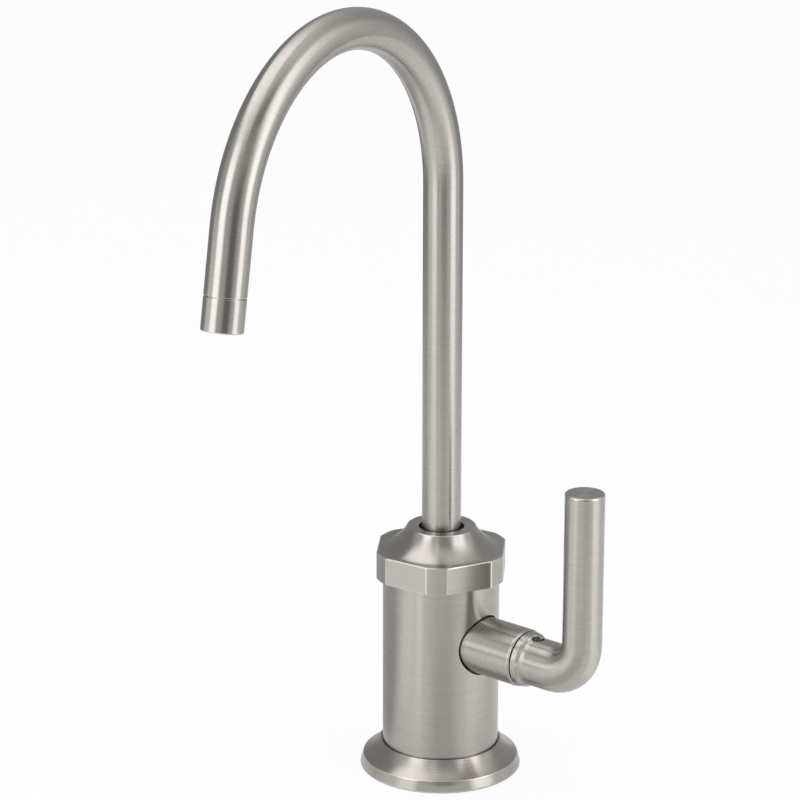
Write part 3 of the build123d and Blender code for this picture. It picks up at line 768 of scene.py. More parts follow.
@cache
def brush_group() -> bpy.types.NodeTree:
    """Fine lines left by an abrasive belt that ran round the piece, from the UV map.

    Returns:
        A shader group. Lines runs from 0 to 1 about 0.5, Height is in metres, and Cloud is a slow
        drift of the finish from 0 to 1.
    """
    coarse_share, contrast = 0.45, 2.2
    drift_along, drift_scale = 90.0, 1.6
    sizes = {"Lines per mm": 5.0, "Line length": 2.0, "Depth": 0.002}
    values = {name: ("NodeSocketFloat", size) for name, size in sizes.items()}
    graph = Graph(bpy.data.node_groups.new("brush_lines", "ShaderNodeTree"))
    start, end = graph.sockets(
        {"UV": ("NodeSocketVector", None), **values},
        {name: "NodeSocketFloat" for name in ("Lines", "Height", "Cloud")},
    )
    place = graph.add("ShaderNodeSeparateXYZ", {0: start.outputs["UV"]})
    lines_per_metre = graph.math("MULTIPLY", start.outputs["Lines per mm"], 1 / MM)
    across = graph.math("MULTIPLY", place.outputs[0], lines_per_metre)
    angle = graph.math("MULTIPLY", place.outputs[1], FULL_TURN)
    reach = graph.math("DIVIDE", 10.0, start.outputs["Line length"])
    sine, cosine = graph.math("SINE", angle), graph.math("COSINE", angle)

    def strands(scale: float, reach_share: float, shift: float) -> bpy.types.NodeSocket:
        """One layer of lines.

        Args:
            scale: its fineness, where 1 is the full number of lines.
            reach_share: how fast it changes round the piece, where 1 is the line length as set.
            shift: how far it is moved across, so that no two layers agree.

        Returns:
            A value from 0 to 1.
        """
        arm = graph.math("MULTIPLY", reach, reach_share)
        spot = graph.point(
            graph.math("MULTIPLY_ADD", across, scale, shift),
            graph.math("MULTIPLY", sine, arm),
            graph.math("MULTIPLY", cosine, arm),
        )
        look = {"Vector": spot, "Scale": 1.0, "Detail": 1.0, "Roughness": 0.5}
        return graph.add("ShaderNodeTexNoise", look).outputs[0]

    fine = strands(scale=1.0, reach_share=1.0, shift=0.0)
    coarse = strands(scale=0.31, reach_share=0.55, shift=37.0)
    both = graph.math("MULTIPLY_ADD", coarse, coarse_share, graph.math("MULTIPLY", fine, 1 - coarse_share))
    spread = graph.math("MULTIPLY_ADD", graph.math("SUBTRACT", both, 0.5), contrast, 0.5)
    spot = graph.point(graph.math("MULTIPLY", place.outputs[0], drift_along), sine, cosine)
    drift = graph.add(
        "ShaderNodeTexNoise", {"Vector": spot, "Scale": drift_scale, "Detail": 3.0, "Roughness": 0.5}
    )
    graph.feed(end.inputs["Lines"], graph.between(spread, 0.0, 1.0))
    depth = graph.math("MULTIPLY", start.outputs["Depth"], MM)
    graph.feed(end.inputs["Height"], graph.math("MULTIPLY", both, depth))
    graph.feed(end.inputs["Cloud"], drift.outputs[0])
    return graph.tree


@dataclass(frozen=True)
class BrushedMetal(Finish):
    """Satin metal with brush lines round each turned piece, and a painted highlight on its sharp outer edges.
    """

    label: str = "nickel"
    slot: Slot = Slot.NICKEL
    tint: Colour = (0.445, 0.419, 0.389)
    roughness: float = 0.27
    stretch: float = 0.85
    lines_per_mm: float = 2.6
    line_length: float = 7.0
    line_depth: float = 0.0004
    line_contrast: float = 0.04
    roughness_drift: float = 0.02
    # Share by which the base colour is lightened on sharp outer edges, as a painted highlight.
    edge_highlight_gain: float = 0.45

    def toned(self, gain: float) -> tuple[float, ...]:
        """The metal's colour, made brighter by a share of itself."""
        return (*(min(share * (1 + gain), 1.0) for share in self.tint), 1.0)

    def fill(self, graph: Graph, shader: bpy.types.Node) -> None:
        """Feeds the brush lines into colour, roughness and height, and lightens the colour on sharp outer
        edges as a painted highlight.

        Args:
            graph: the material's graph.
            shader: its Principled BSDF.
        """
        sizes = {
            "UV": graph.add("ShaderNodeUVMap", uv_map=UV_NAME).outputs[0],
            "Lines per mm": self.lines_per_mm,
            "Line length": self.line_length,
            "Depth": self.line_depth,
        }
        brush = graph.add("ShaderNodeGroup", sizes, node_tree=brush_group())
        lines, cloud = brush.outputs["Lines"], brush.outputs["Cloud"]
        # Painted highlight: the base colour is lightened on sharp outer edges, by the stored edge share.
        edge_lit = graph.add("ShaderNodeAttribute", attribute_name=EDGE_HIGHLIGHT_NAME).outputs["Fac"]
        brushed = graph.mix(lines, self.toned(-self.line_contrast), self.toned(self.line_contrast))
        graph.feed(shader.inputs["Base Color"], graph.mix(edge_lit, brushed, self.toned(self.edge_highlight_gain)))
        drift = self.roughness_drift
        level = graph.math("MULTIPLY_ADD", graph.math("SUBTRACT", cloud, 0.5), drift, self.roughness)
        rough = graph.math("MULTIPLY_ADD", graph.math("SUBTRACT", lines, 0.5), -drift, level)
        graph.feed(shader.inputs["Roughness"], rough)
        shader.inputs["Metallic"].default_value = 1.0
        shader.inputs["Anisotropic"].default_value = self.stretch
        tangent = graph.add("ShaderNodeTangent", direction_type="UV_MAP", uv_map=UV_NAME)
        graph.feed(shader.inputs["Tangent"], tangent.outputs[0])
        relief = {"Strength": 1.0, "Distance": 1.0, "Height": brush.outputs["Height"]}
        bump = graph.add("ShaderNodeBump", relief)
        graph.feed(shader.inputs["Normal"], bump.outputs[0])


@cache
def grain_group() -> bpy.types.NodeTree:
    """Fine grain of a moulded, machined or lapped surface, from Object coordinates.

    Returns:
        A shader group. Grains per mm draws the grain out where it is low along X, Y or Z, Grain
        runs from 0 to 1, and Height is in metres.
    """
    graph = Graph(bpy.data.node_groups.new("surface_grain", "ShaderNodeTree"))
    start, end = graph.sockets(
        {
            "Position": ("NodeSocketVector", None),
            "Grains per mm": ("NodeSocketVector", None),
            "Depth": ("NodeSocketFloat", 0.002),
        },
        {"Grain": "NodeSocketFloat", "Height": "NodeSocketFloat"},
    )
    both = {0: start.outputs["Position"], 1: start.outputs["Grains per mm"]}
    spot = graph.add("ShaderNodeVectorMath", both, operation="MULTIPLY").outputs[0]
    noise = graph.add("ShaderNodeTexNoise", {"Vector": spot, "Scale": 1 / MM, "Detail": 3.0}).outputs[0]
    depth = graph.math("MULTIPLY", start.outputs["Depth"], MM)
    graph.feed(end.inputs["Grain"], noise)
    graph.feed(end.inputs["Height"], graph.math("MULTIPLY", noise, depth))
    return graph.tree


@dataclass(frozen=True)
class Grained(Finish):
    """A moulded, machined or lapped surface with its own fine grain."""

    label: str
    slot: Slot
    dark: Colour
    light: Colour
    roughness: float
    grains_per_mm: tuple[float, float, float] = (1.5, 1.5, 1.5)
    depth: float = 0.004
    metallic: float = 0.0
    roughness_spread: float = 0.1

    def fill(self, graph: Graph, shader: bpy.types.Node) -> None:
        """Feeds the grain into colour, roughness and height.

        Args:
            graph: the material's graph.
            shader: its Principled BSDF.
        """
        place = graph.add("ShaderNodeTexCoord").outputs["Object"]
        sizes = {"Position": place, "Grains per mm": self.grains_per_mm, "Depth": self.depth}
        grain = graph.add("ShaderNodeGroup", sizes, node_tree=grain_group())
        share = grain.outputs["Grain"]
        graph.feed(shader.inputs["Base Color"], graph.mix(share, (*self.dark, 1.0), (*self.light, 1.0)))
        spread = graph.math("SUBTRACT", share, 0.5)
        rough = graph.math("MULTIPLY_ADD", spread, self.roughness_spread, self.roughness)
        graph.feed(shader.inputs["Roughness"], rough)
        shader.inputs["Metallic"].default_value = self.metallic
        bump = graph.add("ShaderNodeBump", {"Distance": 1.0, "Height": grain.outputs["Height"]})
        graph.feed(shader.inputs["Normal"], bump.outputs[0])


NICKEL = BrushedMetal()
STEEL = BrushedMetal("steel", Slot.STEEL, tint=(0.62, 0.62, 0.63), roughness=0.26, stretch=0.4)
BRASS = Grained(
    label="brass",
    slot=Slot.BRASS,
    dark=(0.57, 0.42, 0.20),
    light=(0.72, 0.55, 0.30),
    roughness=0.30,
    grains_per_mm=(0.3, 0.3, 4.0),
    metallic=1.0,
)
BRASS_ACROSS = replace(BRASS, label="brass_across", grains_per_mm=(4.0, 0.3, 0.3))
RUBBER = Grained("rubber", Slot.RUBBER, (0.012, 0.012, 0.013), (0.045, 0.045, 0.047), 0.62, depth=0.02)
ACETAL = Grained("acetal", Slot.ACETAL, (0.80, 0.80, 0.77), (0.90, 0.90, 0.87), 0.35)
PLASTIC = Grained("plastic", Slot.PLASTIC, (0.22, 0.23, 0.25), (0.34, 0.35, 0.37), 0.48, depth=0.01)
CERAMIC = Grained(
    label="ceramic",
    slot=Slot.CERAMIC,
    dark=(0.86, 0.85, 0.81),
    light=(0.93, 0.92, 0.89),
    roughness=0.12,
    depth=0.0005,
    roughness_spread=0.05,
)
WIRE = Grained("wire", Slot.STEEL, (0.50, 0.50, 0.51), (0.68, 0.68, 0.69), 0.28, metallic=1.0)


def add_piece(
    mesh: bpy.types.Mesh, name: str, body: Body, finish: Finish, *nodes: str, mild: float = 500.0
) -> bpy.types.Object:
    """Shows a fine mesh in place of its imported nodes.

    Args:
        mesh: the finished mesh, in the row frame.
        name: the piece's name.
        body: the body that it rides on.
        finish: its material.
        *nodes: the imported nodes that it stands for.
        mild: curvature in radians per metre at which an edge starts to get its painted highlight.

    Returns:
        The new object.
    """
    # Marks the sharp outer edges that get a painted highlight in the brushed metal.
    mark_edge_highlight(mesh, mild)
    mesh.materials.clear()
    mesh.materials.append(finish.material())
    piece = placed(name, mesh)
    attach(piece, body.value)
    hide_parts(*nodes)
    log.info("%s: %d faces on %s", name, len(mesh.polygons), body.value)
    return piece


def add_turned(
    corners: Sequence[Corner], segments: int, place: Matrix, name: str, body: Body, finish: Finish, node: str
) -> None:
    """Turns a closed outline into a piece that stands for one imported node.

    Args:
        corners: the outline's corners in order.
        segments: how many columns go round.
        place: where the local frame stands in the row frame, in metres.
        name: the piece's name.
        body: the body that it rides on.
        finish: its material.
        node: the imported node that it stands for.
    """
    shell = Shell()
    shell.turned(traced(corners, closed=True), segments)
    add_piece(shell.mesh(name, place), name, body, finish, node)


@dataclass(frozen=True)
class Flats:
    """Six flats milled on a round blank about the local X axis.

    Attributes:
        flat: distance of each flat from the axis.
        blank: radius of the blank, which shows at the corners.
        first: angle of the first corner, in degrees.
        soft: half the width of the rounding on each upright edge.
        edge_columns: places of the columns at each upright edge, in shares of that half width.
    """

    flat: float
    blank: float
    first: float = 0.0
    soft: float = 0.13
    edge_columns: tuple[float, ...] = (-2.5, -1, -0.5, 0, 0.5, 1, 2.5)

    def edge(self) -> float:
        """Angle of an upright edge from the middle of its corner, 0 where two flats meet."""
        return math.pi / 6 - math.acos(max(self.flat / self.blank, math.cos(math.pi / 6)))

    def angles(self, step: float = 3.0) -> np.ndarray:
        """The columns' angles, close together at the upright edges.

        Args:
            step: the widest gap between columns, in degrees.

        Returns:
            The angles from 0 to a full turn.
        """
        reach, wrap, clear = self.soft / self.blank, 0.1, 3
        edges = [
            math.radians(self.first) + corner * math.pi / 3 + side * self.edge()
            for corner in range(7)
            for side in ((-1, 1) if self.edge() > 0 else (1,))
        ]

        def crowded(angle: float) -> bool:
            """Whether an angle lies too close to an upright edge, which has its own columns."""
            return any(abs((angle - edge + wrap) % FULL_TURN - wrap) <= clear * reach for edge in edges)

        evenly = np.linspace(0, FULL_TURN, round(360 / step) + 1)
        wanted = {angle for angle in evenly if not crowded(angle)}
        wanted |= {(edge + share * reach) % FULL_TURN for edge in edges for share in self.edge_columns}
        least = 1e-6
        ordered = sorted({round(angle, 9) for angle in wanted if least < angle < FULL_TURN - least})
        return np.array([0.0, *ordered, FULL_TURN])

    def out(self, angle: float) -> float:
        """Distance of the milled surface from the axis.

        Args:
            angle: the angle about the axis, in radians.

        Returns:
            The distance, with the upright edges rounded.
        """
        from_corner = abs((angle - math.radians(self.first) + math.pi / 6) % (math.pi / 3) - math.pi / 6)
        plain = min(self.blank, self.flat / math.cos(math.pi / 6 - from_corner))
        beside = abs(from_corner - self.edge()) * self.blank
        half_turn = (math.pi / 6 - self.edge()) / 2 if self.edge() > 0 else math.pi / 6
        return plain - max(0.0, self.soft - beside) ** 2 * math.tan(half_turn) / (2 * self.soft)

    def chamfered(self, angle: float, start: float, end: float, slope: float, foot: float) -> list[Corner]:
        """The flats' outline from one end face to the other, with the blank's corners turned off.

        Args:
            angle: the angle about the axis, in radians.
            start: place of the first end face along the axis.
            end: place of the last one.
            slope: how far each chamfer runs along the axis for its depth.
            foot: rounding where a chamfer meets its end face.

        Returns:
            Four corners in order.
        """
        lap, edge = 0.02, 0.15
        out = self.out(angle)
        run = math.copysign((out - self.flat + lap) * slope, end - start)
        return [
            Corner(start, self.flat - lap, foot),
            Corner(start + run, out, edge),
            Corner(end - run, out, edge),
            Corner(end, self.flat - lap, foot),
        ]


def upright(height: float = 0.0, x: float = 0.0) -> Matrix:
    """Stands a local frame along X up along Z, with angle 0 towards +X.

    Args:
        height: how far up it starts, in millimetres.
        x: how far along X it stands, in millimetres.

    Returns:
        The placing matrix, in metres.
    """
    return Matrix(((0, 0, 1, x * MM), (0, -1, 0, 0), (1, 0, 0, height * MM), (0, 0, 0, 1)))


@dataclass
class Base:
    """The coved flange that stands on the deck."""

    radius: float = 26.65
    foot_edge: float = 0.55
    band_top: float = 3.9
    band_draft: float = 1.1
    band_edge: float = 0.75
    cove_depth: float = 0.32
    height: float = 9.0
    land: float = 19.95
    mouth: float = 19.3
    seat: float = 8.0
    body_seat: float = 6.0
    body_hole: float = 16.65
    shank_hole: float = 10.7
    shank_edge: float = 0.3
    groove: Pair = (15.0, 21.5)
    groove_depth: float = 2.2
    soft: float = 0.15
    segments: int = 144

    def build(self) -> None:
        """Turns the flange."""
        rim, land = (self.band_top, self.radius - self.band_draft), (self.height, self.land)
        groove_start, groove_end = self.groove
        corners = [
            Corner(0, self.radius, self.foot_edge),
            Corner(*rim, self.band_edge),
            *hollow(rim, land, -self.cove_depth),
            Corner(*land, self.soft),
            Corner(self.height, self.mouth, CRISP),
            Corner(self.seat, self.mouth, CRISP),
            Corner(self.seat, self.body_hole, CRISP),
            Corner(self.body_seat, self.body_hole, CRISP),
            Corner(self.body_seat, self.shank_hole, self.shank_edge),
            Corner(0, self.shank_hole, self.shank_edge),
            Corner(0, groove_start, self.soft),
            Corner(self.groove_depth, groove_start, CRISP),
            Corner(self.groove_depth, groove_end, CRISP),
            Corner(0, groove_end, self.soft),
        ]
        place = upright()
        add_turned(corners, self.segments, place, "base_flange_turned", Body.FAUCET, NICKEL, "base_flange")


@dataclass
class Barrel:
    """The round outer tube, with the bonnet's hole in its side."""

    radius: float = 19.05
    wall: float = 1.8
    bottom: float = 8.0
    top: float = 67.2
    edge: float = 0.2
    hole_height: float = 46.4
    hole_radius: float = 9.92
    rim: float = 0.3
    window: float = 13.5
    rows: int = 24
    half_window: int = 18
    segments: int = 144

    def build(self) -> None:
        """Turns the tube and opens its side hole."""
        low, high = self.hole_height - self.window, self.hole_height + self.window
        inner, edge = self.radius - self.wall, self.edge
        window = np.linspace(low, high, self.rows + 1)
        foot = [
            Corner(low, self.radius),
            Corner(self.bottom, self.radius, edge),
            Corner(self.bottom, inner, edge),
            Corner(low, inner),
        ]
        head = [
            Corner(high, inner),
            Corner(self.top, inner, edge),
            Corner(self.top, self.radius, edge),
            Corner(high, self.radius),
        ]
        runs = [straight(window, inner)[1:], traced(head)[1:], straight(window[::-1], self.radius)[1:]]
        points = np.concatenate([traced(foot), *runs])
        last, first = len(points) - 1, len(traced(foot)) - 1
        outer_rows, inner_rows = (last - self.rows, last), (first, first + self.rows)
        hole = SideHole(self.hole_height, self.hole_radius, self.rim, self.half_window)
        shell = Shell()
        shell.turned(points, self.segments, hole.wanted(last, self.segments, (inner_rows, outer_rows)))
        hole.pierce(shell, points, self.segments, outer_rows, inner_rows)
        add_piece(shell.mesh("barrel_tube", upright()), "barrel_tube", Body.FAUCET, NICKEL, "barrel_sleeve")


@dataclass
class CapNut:
    """The nut over the barrel: six flats, turned corners, a cove and a flat collar."""

    bottom: float = 67.2
    shoulder: float = 76.35
    top: float = 83.5
    roof: float = 74.6
    flats: Flats = field(default_factory=lambda: Flats(20.55, 22.0, 6.6, soft=0.36))
    bottom_edge: float = 0.15
    top_edge: float = 0.4
    cove: tuple[Pair, Pair] = ((76.35, 18.7), (83.3, 11.2))
    cove_depth: float = 0.8
    cove_edge: float = 0.2
    lip: float = 0.25
    bore: float = 7.35
    bore_length: float = 3.5
    bore_chamfer: float = 0.35
    bore_edge: float = 0.08
    hub_room: float = 8.45
    thread: float = 16.45
    # Curvature at which the nut's edges start to get a painted highlight in their colour.
    highlight_bend: float = 110.0
    column_step: float = 2.5

    def corners(self, angle: float) -> list[Corner]:
        """The nut's outline at an angle about its axis.

        Args:
            angle: the angle about the axis, in radians.

        Returns:
            The outline's corners in order.
        """
        out = self.flats.out(angle)
        shoulder, neck = self.cove
        ledge = self.top - self.bore_length
        return [
            Corner(self.bottom, out, self.bottom_edge),
            Corner(self.shoulder, out, self.top_edge),
            Corner(*shoulder),
            *hollow(shoulder, neck, -self.cove_depth),
            Corner(*neck, self.cove_edge),
            Corner(self.top, neck[1] - self.lip, CRISP),
            Corner(self.top, self.bore + self.bore_chamfer, self.bore_edge),
            Corner(self.top - self.bore_chamfer, self.bore, self.bore_edge),
            Corner(ledge, self.bore, CRISP),
            Corner(ledge, self.hub_room, CRISP),
            Corner(self.roof, self.hub_room, CRISP),
            Corner(self.roof, self.thread, CRISP),
            Corner(self.bottom, self.thread, CRISP),
        ]

    def build(self) -> None:
        """Shapes the nut column by column."""
        shell = Shell()
        shell.shaped(self.corners, self.flats.angles(self.column_step), closed=True)
        mesh = shell.mesh("cap_nut_milled", upright())
        add_piece(mesh, "cap_nut_milled", Body.FAUCET, NICKEL, "cap_nut", mild=self.highlight_bend)


@dataclass
class Bonnet:
    """The smooth cover that comes out of the barrel."""

    height: float = 46.4
    start: float = 15.0
    end: float = 36.1
    radius: float = 9.47
    edge_length: float = 0.8
    edge_drop: float = 0.27
    edge_bend: float = 0.8
    face_edge: float = 0.12
    stem_hole: float = 4.25
    end_wall: float = 3.5
    thread: float = 6.55
    hexagon_end: float = 19.5
    hexagon_room: float = 8.33
    segments: int = 128

    def build(self) -> None:
        """Turns the cover about the handle's axis."""
        roof = self.end - self.end_wall
        corners = [
            Corner(self.start, self.radius, CRISP),
            Corner(self.end - self.edge_length, self.radius, self.edge_bend),
            Corner(self.end, self.radius - self.edge_drop, self.face_edge),
            Corner(self.end, self.stem_hole, CRISP),
            Corner(roof, self.stem_hole, CRISP),
            Corner(roof, self.thread, CRISP),
            Corner(self.hexagon_end, self.thread, CRISP),
            Corner(self.hexagon_end, self.hexagon_room, CRISP),
            Corner(self.start, self.hexagon_room, CRISP),
        ]
        place = Matrix.Translation((0, 0, self.height * MM))
        add_turned(corners, self.segments, place, "bonnet_turned", Body.FAUCET, NICKEL, "bonnet")


@dataclass(frozen=True)
class Elbow:
    """One bend in a bar that starts out along the local X axis and turns towards local Z."""

    start: float
    radius: float
    angle: float

    def values(self) -> dict[str, float]:
        """The inputs of the bending tree, in metres and radians."""
        return {"Start": self.start * MM, "Radius": self.radius * MM, "Angle": math.radians(self.angle)}

    def arc(self) -> float:
        """Length of the bend along the bar's middle."""
        return self.radius * math.radians(self.angle)

    def frame_at(self, after: float) -> Matrix:
        """The bar's own frame at a distance beyond the bend, with X along the bar.

        Args:
            after: the distance in millimetres.

        Returns:
            The frame, in metres, against the frame that the bar starts in.
        """
        turn = math.radians(self.angle)
        sine, cosine = math.sin(turn), math.cos(turn)
        x = self.start + self.radius * sine + after * cosine
        z = self.radius * (1 - cosine) + after * sine
        return Matrix(((cosine, 0, -sine, x * MM), (0, 1, 0, 0), (sine, 0, cosine, z * MM), (0, 0, 0, 1)))


@dataclass
class Spout:
    """The gooseneck tube, the collar at its end and the aerator in it."""

    radius: float = 6.35
    wall: float = 1.0
    foot: float = 61.5
    elbow: Elbow = field(default_factory=lambda: Elbow(197.2, 58.3, 169.3))
    tip_run: float = 19.6
    heading: float = 8.8
    row_length: float = 2.2
    tip_edge: float = 0.12
    segments: int = 96

    def place(self) -> Matrix:
        """Stands the tube up with its bend towards the heading.

        Returns:
            The placing matrix.
        """
        turn = math.radians(self.heading)
        sine, cosine = math.sin(turn), math.cos(turn)
        return Matrix(((0, -cosine, sine, 0), (0, -sine, -cosine, 0), (1, 0, 0, 0), (0, 0, 0, 1)))

    def build_tube(self, bend: bpy.types.NodeTree) -> None:
        """Turns the straight tube and bends it.

        Args:
            bend: the bending tree.
        """
        end = self.elbow.start + self.elbow.arc() + self.tip_run
        bore = self.radius - self.wall
        corners = [
            Corner(self.foot, bore, CRISP),
            Corner(self.foot, self.radius, CRISP),
            Corner(end, self.radius, self.tip_edge),
            Corner(end, bore, CRISP),
        ]
        shell = Shell()
        shell.turned(spaced(traced(corners, closed=True), self.row_length), self.segments)
        mesh = facing_out(run_tree(shell.mesh("spout_tube_bent"), bend, self.elbow.values()))
        mesh.transform(self.place())
        add_piece(mesh, "spout_tube_bent", Body.SPOUT, NICKEL, "spout_tube")

    def collar(self) -> list[Corner]:
        """The outline of the collar and of its fine seam, measured from the tube's end.

        Returns:
            The outline's corners in order.
        """
        spigot_start, spigot, spigot_edge, bore = -5.0, 5.3, 0.02, 4.2
        seam_end, seam, seam_edge = 0.38, 5.95, 0.05
        end, end_edge, mouth, mouth_edge, ledge = 10.4, 0.8, 5.35, 0.15, 2.0
        return [
            Corner(spigot_start, bore, CRISP),
            Corner(spigot_start, spigot, CRISP),
            Corner(0.0, spigot, spigot_edge),
            Corner(0.0, seam, seam_edge),
            Corner(seam_end, seam, seam_edge),
            Corner(seam_end, self.radius, CRISP),
            Corner(end, self.radius, end_edge),
            Corner(end, mouth, mouth_edge),
            Corner(ledge, mouth, CRISP),
            Corner(ledge, bore, CRISP),
        ]

    def cup(self) -> list[Corner]:
        """The outline of the aerator's cup, measured from the tube's end.

        Returns:
            The outline's corners in order.
        """
        start, end, floor = 3.2, 9.2, 8.4
        out, bore, mouth = 5.3, 4.6, 3.8
        out_edge, mouth_edge = 0.25, 0.3
        return [
            Corner(start, bore, CRISP),
            Corner(start, out, CRISP),
            Corner(end, out, out_edge),
            Corner(end, mouth, mouth_edge),
            Corner(floor, mouth, CRISP),
            Corner(floor, bore, CRISP),
        ]

    def build_outlet(self) -> None:
        """Turns the collar and the aerator's cup on the tube's end."""
        tip = self.place() @ self.elbow.frame_at(self.tip_run)
        for name, corners, finish, node in (
            ("outlet_collar_turned", self.collar(), NICKEL, "outlet_collar"),
            ("aerator_cup", self.cup(), PLASTIC, "aerator_housing"),
        ):
            add_turned(corners, self.segments, tip, name, Body.SPOUT, finish, node)

    def build(self, bend: bpy.types.NodeTree) -> None:
        """Builds the tube and the outlet.

        Args:
            bend: the bending tree.
        """
        self.build_tube(bend)
        self.build_outlet()


@dataclass
class Lever:
    """The lever: hub ring, stem, tapering elbow and upright grip, with its set screw."""

    height: float = 46.4
    face: float = 36.55
    ring_radius: float = 9.12
    ring_back: Pair = (38.15, 8.88)
    ring_edges: tuple[float, float, float] = (0.2, 0.15, 0.8)
    ledge: float = 8.8
    ledge_end: Pair = (39.12, 8.45)
    step_foot: Pair = (39.2, 8.24)
    step_edge: float = 0.05
    fillet_start: Pair = (39.36, 8.2)
    fillet_end: float = 40.7
    fillet_depth: float = 0.03
    stem_radius: float = 7.94
    bore: float = 4.05
    bore_end: float = 46.4
    bore_support: float = 0.2
    elbow: Elbow = field(default_factory=lambda: Elbow(47.5, 11.1, 90.0))
    elbow_runs: int = 32
    grip_radius: float = 6.35
    grip_run: float = 50.2
    grip_edge: float = 0.6
    grip_rows: float = 3.0
    screw_at: float = 41.0
    screw_radius: float = 2.0
    screw_top: float = 52.2
    screw_tip: float = 49.97
    screw_gap: float = 0.05
    screw_rim: float = 0.18
    socket: float = 1.0
    socket_depth: float = 1.6
    window: Pair = (38.3, 43.9)
    window_rows: float = 0.3
    half_window: int = 17
    rings: int = 16
    segments: int = 120

    def ring(self) -> np.ndarray:
        """The outline of the hub ring, from the bore round its face.

        Returns:
            Its points, as rows of (along, out).
        """
        low = self.window[0]
        bore_edge, face_edge, back_bend = self.ring_edges
        return traced(
            [
                Corner(low, self.bore),
                Corner(self.face, self.bore, bore_edge),
                Corner(self.face, self.ring_radius, face_edge),
                Corner(*self.ring_back, back_bend),
                Corner(low, self.ledge),
            ]
        )

    def step(self) -> np.ndarray:
        """The outline from the hub ring's ledge down to the stem, through the screw's window.

        Returns:
            Its points, as rows of (along, out).
        """
        low, high = self.window
        fillet_end = (self.fillet_end, self.stem_radius)
        corners = [
            Corner(low, self.ledge),
            Corner(*self.ledge_end, CRISP),
            Corner(*self.step_foot, self.step_edge),
            Corner(*self.fillet_start, self.step_edge),
            *hollow(self.fillet_start, fillet_end, -self.fillet_depth, 6),
            Corner(*fillet_end),
            Corner(high, self.stem_radius),
        ]
        return spaced(traced(corners), self.window_rows)

    def grip(self) -> np.ndarray:
        """The outline beyond the stem, which tapers through the elbow to the grip.

        Returns:
            Its points, as rows of (along, out).
        """
        arc, slimmer = self.elbow.arc(), self.grip_radius - self.stem_radius
        taper = [
            Corner(
                self.elbow.start + share * arc,
                self.stem_radius + slimmer * share * share * (3 - 2 * share),
            )
            for share in np.linspace(0, 1, self.elbow_runs + 1)
        ]
        end = self.elbow.start + arc + self.grip_run
        corners = [*taper, Corner(end, self.grip_radius, self.grip_edge), Corner(end, 0)]
        return spaced(traced(corners), self.grip_rows)

    def outline(self) -> tuple[np.ndarray, Rows, Rows]:
        """The straight blank's outline.

        Returns:
            Its points, and the first and last rows of the windows in the stem's wall and in the bore.
        """
        low, high = self.window
        ring, step = self.ring(), self.step()
        rows = len(step) - 1
        end, bore, near = self.bore_end, self.bore, self.bore_support
        bottom = np.array([[end, 0], [end, bore - near], [end, bore], [end - near, bore]])
        inside = straight(np.linspace(high, low, rows + 1), bore)
        points = np.concatenate([bottom, inside, ring[1:], step[1:], self.grip()])
        inner = (len(bottom), len(bottom) + rows)
        first = inner[1] + len(ring) - 1
        return points, (first, first + rows), inner

    def build_lever(self, bend: bpy.types.NodeTree) -> None:
        """Turns the straight blank, opens the screw's hole and bends the elbow.

        Args:
            bend: the bending tree.
        """
        points, outer, inner = self.outline()
        hole_radius = self.screw_radius + self.screw_gap
        hole = SideHole(self.screw_at, hole_radius, self.screw_rim, self.half_window, self.rings)
        keep = hole.wanted(len(points) - 1, self.segments, (outer, inner))
        shell = Shell()
        shell.turned(points, self.segments, keep)
        hole.pierce(shell, points, self.segments, outer, inner)
        mesh = facing_out(run_tree(shell.mesh("lever_bent"), bend, self.elbow.values()))
        mesh.transform(Matrix.Translation((0, 0, self.height * MM)))
        add_piece(mesh, "lever_bent", Body.HANDLE, NICKEL, "lever_handle")

    def build_screw(self) -> None:
        """Turns the set screw round its hexagon socket."""
        socket = Flats(self.socket, 2 * self.socket, soft=0.03)
        point, point_length, chamfer, edge = 1.2, 0.6, 0.2, 0.06
        mouth, mouth_edge, floor_edge, drill_drop = 0.1, 0.03, 0.05, 0.25
        column_step = 7.5

        def corners(angle: float) -> list[Corner]:
            """The screw's outline at an angle about its axis.

            Args:
                angle: the angle about the axis, in radians.

            Returns:
                The outline's corners in order.
            """
            out = socket.out(angle)
            floor = self.screw_top - self.socket_depth
            return [
                Corner(self.screw_tip, 0),
                Corner(self.screw_tip, point, CRISP),
                Corner(self.screw_tip + point_length, self.screw_radius, CRISP),
                Corner(self.screw_top - chamfer, self.screw_radius, edge),
                Corner(self.screw_top, self.screw_radius - chamfer, edge),
                Corner(self.screw_top, out + mouth, mouth_edge),
                Corner(self.screw_top - mouth, out, mouth_edge),
                Corner(floor, out, floor_edge),
                Corner(floor - drill_drop, 0),
            ]

        shell = Shell()
        shell.shaped(corners, socket.angles(column_step))
        mesh = shell.mesh("hub_set_screw", upright(x=self.screw_at))
        add_piece(mesh, "hub_set_screw", Body.HANDLE, STEEL, "lever_set_screw")

    def build(self, bend: bpy.types.NodeTree) -> None:
        """Builds the lever and its screw.

        Args:
            bend: the bending tree.
        """
        self.build_lever(bend)
        self.build_screw()


